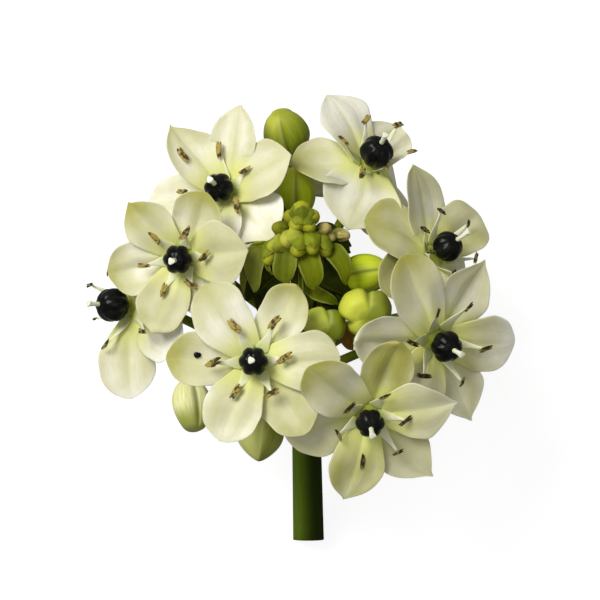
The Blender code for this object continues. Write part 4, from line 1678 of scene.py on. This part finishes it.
@dataclass
class ClosedBud:
    """A closed bud of three outer tepals whose edges overlap."""

    plan: BudPlan
    overlap: float = 0.085
    point: float = 0.06

    def build(self, name: str, around: int, along: int) -> Piece:
        """Models the bud and carries it to its place.

        Args:
            name: Its name.
            around: The number of faces round it.
            along: The number of faces from foot to tip.

        Returns:
            The bud in plan millimetres, with its painted light and painted shade kept at each point.
        """
        item = self.plan
        kept = {}

        def former(angle: Array, share: Array) -> Array:
            """Places the points of the bud by their angle and share."""
            part = np.mod(angle / (2 * math.pi) * 3 + 0.5 + 1.5 / around, 3.0)
            which = np.minimum(part.astype(int), 2)
            phase = part - which
            strong = np.sin(np.pi * share)**0.4
            step = (phase**2 - 0.4) * self.overlap * 2 * strong
            hollow = item.groove * bell(np.minimum(phase, 1 - phase), 0, 0.13) * strong
            keel = 0.03 * bell(phase, 0.5, 0.09) * strong
            ribs = np.cos(11 * angle + 3 * share) * 0.5 + np.sin(19 * share + 2 * angle) * 0.25
            ribs = item.ridges * ribs * strong
            # The tepals' painted light and shade, with stripes that follow the ridges.
            tone = np.array(item.lobe_light_and_shade)[which] + ribs * 2.5
            # Painted highlight along each overlapping edge, and painted light on lobes turned to the light.
            pale = np.maximum(bell(phase, 0.97, 0.03) * strong, -tone)
            # Painted shade in the seam groove and on lobes turned from the light.
            dark = np.maximum(0.9 * bell(phase, 0, 0.10) * strong, tone)
            # Painted shade at the foot of each young bud, where it sits among the others.
            dark = np.maximum(dark, 0.95 * bell(share, 0, 0.32) if item.foot == 0 else 0.0)
            kept["painted_light_and_shade"] = np.stack((np.maximum(pale, max(0.0, -item.dark)), np.maximum(dark, item.dark),
                                     np.zeros_like(pale)), 1)
            closing = 0.55 + (item.blunt - 0.55) * eased(0.4, 0.9, share)
            belly = np.sin(np.pi * np.clip(share, 0, 1)**(1 - self.point))**closing
            size = np.interp(part, (-0.5, 0.5, 1.5, 2.5, 3.5), (item.sizes[2], *item.sizes, item.sizes[0]))
            wide = item.width / 2 * belly * (1 - (hollow - step - keel - ribs * 0.5)) * size
            swollen = np.sin(np.pi * phase)**0.5 * np.sin(np.pi * np.clip(share, 0, 1)**3)
            high = (share - 0.5) * item.length + item.puff * swollen - item.puff * 0.5 * share**8
            return about(angle + math.radians(item.roll), wide, high)

        made = pod(name, former, around, along)
        note(made, "painted_light_and_shade", kept["painted_light_and_shade"])
        return carry(refine(made), item.middle, item.facing)


@dataclass
class Bract:
    """A bract that bends out from its root, cupped towards its inner side."""

    plan: BractPlan
    cup: float = -0.9
    leaf: Leaf = Leaf(10, 14, 0.5, 0.45)
    outer: Sequence[float] = (0.0, 0.0, 1.0)
    widest: float = 0.48

    def half_width(self, share: Array) -> Array:
        """Follows the bract's outline as a share of its greatest half width.

        Args:
            share: How far along each point is, from 0 to 1.

        Returns:
            The half width at each share, from 0 to 1.
        """
        low = 0.50 + 0.50 * np.sin(np.pi / 2 * np.clip(share / self.widest, 0, 1))
        high = (1 - np.clip((share - self.widest) / (1 - self.widest), 0, 1)**self.plan.full)**0.58
        return np.where(share < self.widest, low, high)

    def open_sheet(self, draw: random.Random) -> Piece:
        """Models the open bract in plan millimetres.

        Args:
            draw: What its uneven shape is drawn from.

        Returns:
            The open bract, with its side, its share and its paleness kept at each point.
        """
        root, bend, tip = (np.array(corner) for corner in (self.plan.root, self.plan.bend, self.plan.tip))
        corners = (root, root + (bend - root) * 0.67, tip + (bend - tip) * 0.67, tip)
        wide = unit(np.cross(tip - root, self.outer))
        phase = draw.uniform(0, 2 * math.pi)
        kept = {}

        def former(side: Array, row: Array) -> Array:
            """Places the points of the bract by their side and row."""
            part = np.clip((row - 0.5) / 0.5, 0, 1)
            share = np.where(row < 0.5, row, 0.5 + 0.5 * np.sin(np.pi / 2 * part))
            ragged = 0.08 * np.sin(9 * share + phase + 2 * np.sign(side))
            ragged = ragged + 0.035 * np.sin(27 * share + 2 * phase)
            half = self.half_width(share) * self.plan.width / 2 * (1 + ragged * eased(0.1, 0.4, share))
            deep = self.cup * np.interp(share, (0, 0.45, 0.8, 1), (0, 1, 0.7, 0)) * side**2
            deep = deep - 0.18 * bell(side, 0, 0.15)
            deep = deep + 0.12 * np.sin(side * 9 + phase) * np.sin(np.pi * share)
            deep = deep + 0.25 * np.sin(5 * share + phase) * side**3
            kept["leaf"] = np.stack((side, share, np.full_like(side, self.plan.tone)), 1)
            return beside(bezier(corners, share), (wide, side * half),
                          (np.cross(slope_of(corners, share), wide), deep))

        made = sheet("bract", former, self.leaf.across, self.leaf.along)
        note(made, "leaf", kept["leaf"])
        return made


@dataclass
class Stem:
    """The cut stem with the stalk and the dry bract of each flower and bud."""

    draw: random.Random
    radius: float = 4.2
    top_radius: float = 3.0
    stalk_radius: float = 1.3
    bract_reach: float = 9.0
    bract_drop: float = 2.6
    bract_width: float = 4.2
    cut_depth: float = 60.0
    cuts: int = 47
    behind_bloom: float = 2.7
    behind_bud: float = 0.3
    bract_leaf: Leaf = Leaf(10, 14, 0.4, 0.5)
    line: tuple[Corner, ...] = ((2.3, -65.6, 2.8), (1.8, -40.0, 17.5), (1.2, -15.0, 33.0), (0.9, 1.0, 43.5),
                                (0.4, 10.5, 50.0))

    def point(self, share: float) -> Array:
        """Finds the point at a share of the way up the stem.

        Args:
            share: How far up the stem, from 0 to 1.

        Returns:
            The point in plan millimetres.
        """
        spans = len(self.line) - 1
        index = min(int(share * spans), spans - 1)
        part = share * spans - index
        near = [np.array(self.line[min(max(index + k, 0), spans)]) for k in (-1, 0, 1, 2)]
        square, cube = part**2, part**3
        smooth = near[1] * (2 * cube - 3 * square + 1) + near[2] * (3 * square - 2 * cube)
        leave, arrive = (near[2] - near[0]) / 2, (near[3] - near[1]) / 2
        return smooth + leave * (cube - 2 * square + part) + arrive * (cube - square)

    def way(self, share: float) -> Array:
        """Finds the unit direction of the stem at a share of the way up."""
        return unit(self.point(min(share + 0.01, 1.0)) - self.point(max(share - 0.01, 0.0)))

    def length(self) -> float:
        """Measures the stem from its cut end to the crown."""
        points = [self.point(k / 20) for k in range(21)]
        return sum(float(np.linalg.norm(after - before)) for before, after in zip(points, points[1:]))

    def blank(self) -> Piece:
        """Models a straight cylinder of many rings, with the rings and pith of its cut end.

        Returns:
            The cylinder.
        """
        clear_selection()
        bpy.ops.mesh.primitive_cylinder_add(vertices=32, radius=1.0, depth=2.0, end_fill_type="NGON")
        made = bpy.context.object
        made.name = "scape"
        with editing():
            bpy.ops.mesh.select_mode(type="EDGE")
            bpy.ops.mesh.select_all(action="DESELECT")
        for edge in made.data.edges:
            ends = [made.data.vertices[k].co.z for k in edge.vertices]
            edge.select = abs(ends[0] - ends[1]) > 1.0
        with editing():
            bpy.ops.mesh.subdivide(number_cuts=self.cuts)
            bpy.ops.mesh.select_mode(type="FACE")
            bpy.ops.mesh.select_all(action="DESELECT")
        for face in made.data.polygons:
            face.select = face.normal.z < -0.9
        with editing():
            for thickness, depth in ((0.05, 0.0), (0.10, 0.004), (0.25, 0.004), (0.30, 0.0)):
                bpy.ops.mesh.inset(thickness=thickness, depth=-depth)
            bpy.ops.mesh.select_all(action="DESELECT")
        return made

    def scape(self) -> Piece:
        """Models the bare stem by bending the cylinder along its line.

        Returns:
            The bare stem.
        """
        made = self.blank()
        start = points_of(made)
        angle = np.arctan2(start[:, 1], start[:, 0])
        wide = np.hypot(start[:, 0], start[:, 1])
        inside = (wide < 0.995) & (start[:, 2] < 0)
        share = np.where(inside, 0, np.clip((start[:, 2] + 1) / 2, 0, 1))
        sunk = np.where(inside, start[:, 2] + 1, 0) * self.cut_depth
        centres = np.array([self.point(float(part)) for part in share])
        level = eased(0.0, 0.06, share)[:, None]
        ways = np.array([self.way(float(part)) for part in share])
        ways = unit(ways * level + np.array((0, 1, 0)) * (1 - level))
        second = unit(np.cross(ways, ACROSS))
        ridge = 1 + 0.012 * np.cos(7 * angle + 1.0) + 0.008 * np.cos(13 * angle + 4 * share)
        reach = (self.radius + (self.top_radius - self.radius) * share) * wide * ridge
        move_points(made, beside(centres, (np.cross(second, ways), reach * np.cos(angle)),
                                 (second, reach * np.sin(angle)), (ways, sunk)))
        note(made, "skin", np.stack((np.cos(angle), np.sin(angle), share), 1))
        finish_with(made, "BEVEL", width=0.25, segments=2, limit_method="ANGLE",
                    angle_limit=math.radians(50))
        bpy.ops.object.shade_smooth_by_angle(angle=math.radians(40))
        return made

    def stalk(self, foot: float, end: Array, facing: Array) -> tuple[Piece, Piece]:
        """Models one stalk and the small bract under it.

        Args:
            foot: How far up the stem the stalk leaves it, in millimetres.
            end: Where it ends.
            facing: The unit direction in which it ends.

        Returns:
            The stalk, and the open bract.
        """
        share = foot / self.length()
        start, ahead = self.point(share), self.way(share)
        span = end - start
        size = float(np.linalg.norm(span))
        outward = unit(span - span.dot(ahead) * ahead)
        leave = unit(ahead * 0.5 + outward * 0.9) * size * 0.35
        corners = (start, start + leave, end - facing * size * 0.35, end + facing * 0.5)
        phase = self.draw.uniform(0, 6.28)

        def former(angle: Array, part: Array) -> Array:
            """Places the points of the stalk by their angle and share."""
            ways = slope_of(corners, part)
            second = unit(np.cross(ways, ahead + np.array((0.013, 0.021, 0.017))))
            flare = 1 + 0.5 * np.exp(-part * size / 2.5) + 0.22 * np.exp((part - 1) * size / 1.8)
            shut = np.clip(np.sin(np.pi * part) * 8, 0, 1)**0.5
            wide = self.stalk_radius * flare * shut * (1 + 0.03 * np.cos(5 * angle + phase))
            return beside(bezier(corners, part), (np.cross(second, ways), wide * np.cos(angle)),
                          (second, wide * np.sin(angle)))

        made = pod("stalk", former, 14, 24)
        low = start - ahead * self.bract_drop
        tip = low + unit(outward * 0.9 + ahead * 0.3) * self.bract_reach
        plan = BractPlan(start, low + outward * self.bract_reach / 2, tip, self.bract_width)
        return made, Bract(plan, outer=ahead).open_sheet(self.draw)

    def build(self, dresser: Dresser) -> None:
        """Models and dresses the stem, the stalks and their bracts.

        Args:
            dresser: What finishes the pieces.
        """
        dresser.dress(self.scape(), "stem green", "stem_green", "stem")
        ends = [(item.foot, item.seat, item.facing, self.behind_bloom) for item in BLOOMS]
        ends += [(item.foot, item.middle, item.facing, item.length / 2 + self.behind_bud) for item in BUDS]
        made = [self.stalk(foot, np.array(place) - unit(facing) * back, unit(facing))
                for foot, place, facing, back in ends]
        stalks, bracts = zip(*made)
        dresser.dress(refine(joined(stalks, "stalks")), "stalk green", "stem_green", "stem")
        dresser.dress(self.bract_leaf.close(bracts, "stalk_bracts"), "bract dry", "stem_green", "stem")


@dataclass
class Crown:
    """The young buds and bracts round the tip of the stem."""

    draw: random.Random
    length: float = 11.0
    width: float = 10.0
    middle: Corner = (0.0, 17.0, 52.0)
    thin: Leaf = Leaf(10, 14, 0.35, 0.45)

    def core(self, stem: Stem) -> Piece:
        """Models the green tip inside the young buds.

        Args:
            stem: The stem that carries it.

        Returns:
            The tip in plan millimetres.
        """
        way = stem.way(1.0)

        def former(angle: Array, share: Array) -> Array:
            """Places the points of the tip by their angle and share."""
            wide = self.width / 2 * np.sin(np.pi * share)**0.6 * (1 + 0.04 * np.cos(8 * angle + 5 * share))
            return about(angle, wide, self.length * share)

        return carry(refine(pod("crown_core", former, 32, 16)), stem.point(1.0) + way * 0.3, way)

    def wrap(self, item: BudPlan) -> Bract:
        """Plans the small bract that hugs the outer side of a young bud.

        Args:
            item: The bud's plan.

        Returns:
            The bract.
        """
        facing, middle = unit(item.facing), np.array(item.middle)
        away = UP * 0.5 + (middle - np.array(self.middle)) * 0.12
        away = unit(away - away.dot(facing) * facing)
        root, bend, tip = (middle + facing * item.length * along + away * item.width * aside
                           for along, aside in ((-0.42, 0.38), (0.08, 0.86), (0.42, 0.22)))
        # The wrap is made paler by the bud's painted light, and by 0.1 on every wrap.
        plan = BractPlan(root, bend, tip, item.width * 1.02, max(0.0, -item.dark) * 0.6 + 0.1, 2.6)
        return Bract(plan, 1.3, self.thin, away)

    def build(self, dresser: Dresser, stem: Stem) -> None:
        """Models and dresses the whole crown.

        Args:
            dresser: What finishes the pieces.
            stem: The stem that carries the crown.
        """
        dresser.dress(self.core(stem), "crown green", "bud_green", "crown")
        for items, finish, faces in ((YOUNG_BUDS, "crown green", YOUNG_FACES),
                                     (WITHERED_BUDS, "bud withered", WITHERED_FACES)):
            for item in items:
                young = ClosedBud(item).build(f"young_bud_{item.name}", *faces)
                dresser.dress(young, finish, "bud_green", "crown")
        rings = [("crown_wraps", [self.wrap(item) for item in BUDS_IN_VIEW], "bract fresh")]
        for name, plans, finish in (("crown_bracts", CROWN_BRACTS, "bract green"),
                                    # The dark sheets deep in the crown paint the shade there.
                                    ("painted_shade_bracts", PAINTED_SHADE_BRACTS, "bract painted shade"),
                                    ("dry_bracts", DRY_BRACTS, "bract dry")):
            rings.append((name, [Bract(plan) for plan in plans], finish))
        for name, bracts, finish in rings:
            made = bracts[0].leaf.close([bract.open_sheet(self.draw) for bract in bracts], name)
            dresser.dress(made, finish, "bud_green", "crown")


@dataclass
class Studio:
    """The pale floor, the soft lights and the camera, in metres.

    Each light has its place, the length of its side and its power in watts. The floor glows in the picture
    and lights the flower from below only a little.
    """

    camera_height: float = 1.0
    lens: float = 218.7
    sensor: float = 36.0
    farthest: float = 20.0
    aim: Corner = (0.0, 0.0, 0.04)
    key: tuple[Corner, float, float] = ((-0.62, 0.60, 0.95), 0.65, 16.0)
    fill: tuple[Corner, float, float] = ((0.15, -0.10, 1.3), 0.8, 2.0)
    ambient: float = 0.30
    floor_size: float = 5.0
    floor_drop: float = 0.00005
    floor_glow: Colour = (0.86, 0.86, 0.86)
    floor_bounce: Colour = (0.05, 0.05, 0.05)

    def floor(self) -> None:
        """Lays the pale floor under the head."""
        clear_selection()
        bpy.ops.mesh.primitive_grid_add(x_subdivisions=24, y_subdivisions=24, size=self.floor_size,
                                        location=(0, 0, -self.floor_drop))
        made = bpy.context.object
        made.name = "studio_floor"
        material = bpy.data.materials.new("studio floor")
        material.use_nodes = True
        writer = NodeWriter(material.node_tree)
        shader = writer.shader()
        fleck = writer.noise(writer.place(), 60.0, 3.0)
        colour = writer.mix(writer.ramp(fleck, 0.3, 0.7), (0.24, 0.24, 0.24), (0.26, 0.26, 0.26))
        writer.feed(shader.inputs["Base Color"], colour)
        writer.feed(shader.inputs["Roughness"], writer.ramp(fleck, 0.3, 0.7, 0.75, 0.9))
        seen = writer.node("ShaderNodeLightPath").outputs["Is Camera Ray"]
        glow = writer.mix(seen, self.floor_bounce, self.floor_glow)
        writer.feed(shader.inputs["Emission Color"], glow)
        shader.inputs["Emission Strength"].default_value = 1.0
        made.data.materials.append(material)

    def light(self, name: str, place: Corner, size: float, power: float) -> None:
        """Hangs one soft square light that shines at the head.

        Args:
            name: Its name.
            place: Where it hangs, in metres.
            size: The length of its side, in metres.
            power: Its power, in watts.
        """
        clear_selection()
        bpy.ops.object.light_add(type="AREA", location=place)
        made = bpy.context.object
        made.name = name
        made.data.shape = "SQUARE"
        made.data.size = size
        made.data.energy = power
        way = Vector(self.aim) - Vector(place)
        made.rotation_euler = way.to_track_quat("-Z", "Y").to_euler()

    def camera(self) -> None:
        """Sets the camera over the middle of the picture, looking straight down."""
        clear_selection()
        x, y, _ = -PLAN_CENTRE * MM
        bpy.ops.object.camera_add(location=(x, y, self.camera_height), rotation=(0.0, 0.0, 0.0))
        made = bpy.context.object
        made.name = "camera"
        made.data.lens = self.lens
        made.data.sensor_width = self.sensor
        made.data.clip_end = self.farthest
        bpy.context.scene.camera = made

    def build(self) -> None:
        """Sets the whole studio up."""
        self.floor()
        self.light("key_light", *self.key)
        self.light("fill_light", *self.fill)
        world = bpy.data.worlds.new("studio")
        world.use_nodes = True
        colour, strength = world.node_tree.nodes["Background"].inputs[:2]
        colour.default_value = (1.0, 1.0, 1.0, 1.0)
        strength.default_value = self.ambient
        bpy.context.scene.world = world
        bpy.context.scene.view_settings.view_transform = "Standard"
        self.camera()


def main() -> None:
    """Builds the flower head from the stem outwards, then the studio."""
    logging.basicConfig(level=logging.INFO, format="%(message)s")
    draw = random.Random(SEED)
    dresser = Dresser()
    stem = Stem(draw)
    stem.build(dresser)
    Crown(draw).build(dresser, stem)
    for item in BUDS:
        made = ClosedBud(item).build(f"green_bud_{item.name}", *BUD_FACES)
        dresser.dress(made, BUD_FINISHES.get(item.name, "bud green with painted shade"), "bud_green", f"bud_{item.name}")
    patterns = [AntherPattern(gape, bend).build(f"anther_pattern_{k}", ANTHER_SEED + k)
                for k, (gape, bend) in enumerate(ANTHER_SHAPES)]
    for item in BLOOMS:
        Perianth(item, draw).build(dresser)
        Stamens(item, patterns, draw).build(dresser)
        Pistil(item).build(dresser)
    DarkGrain().build(dresser, bpy.data.objects["tepals_front"])
    for pattern in patterns:
        bpy.data.objects.remove(pattern)
    Studio().build()


if __name__ == "__main__":
    main()
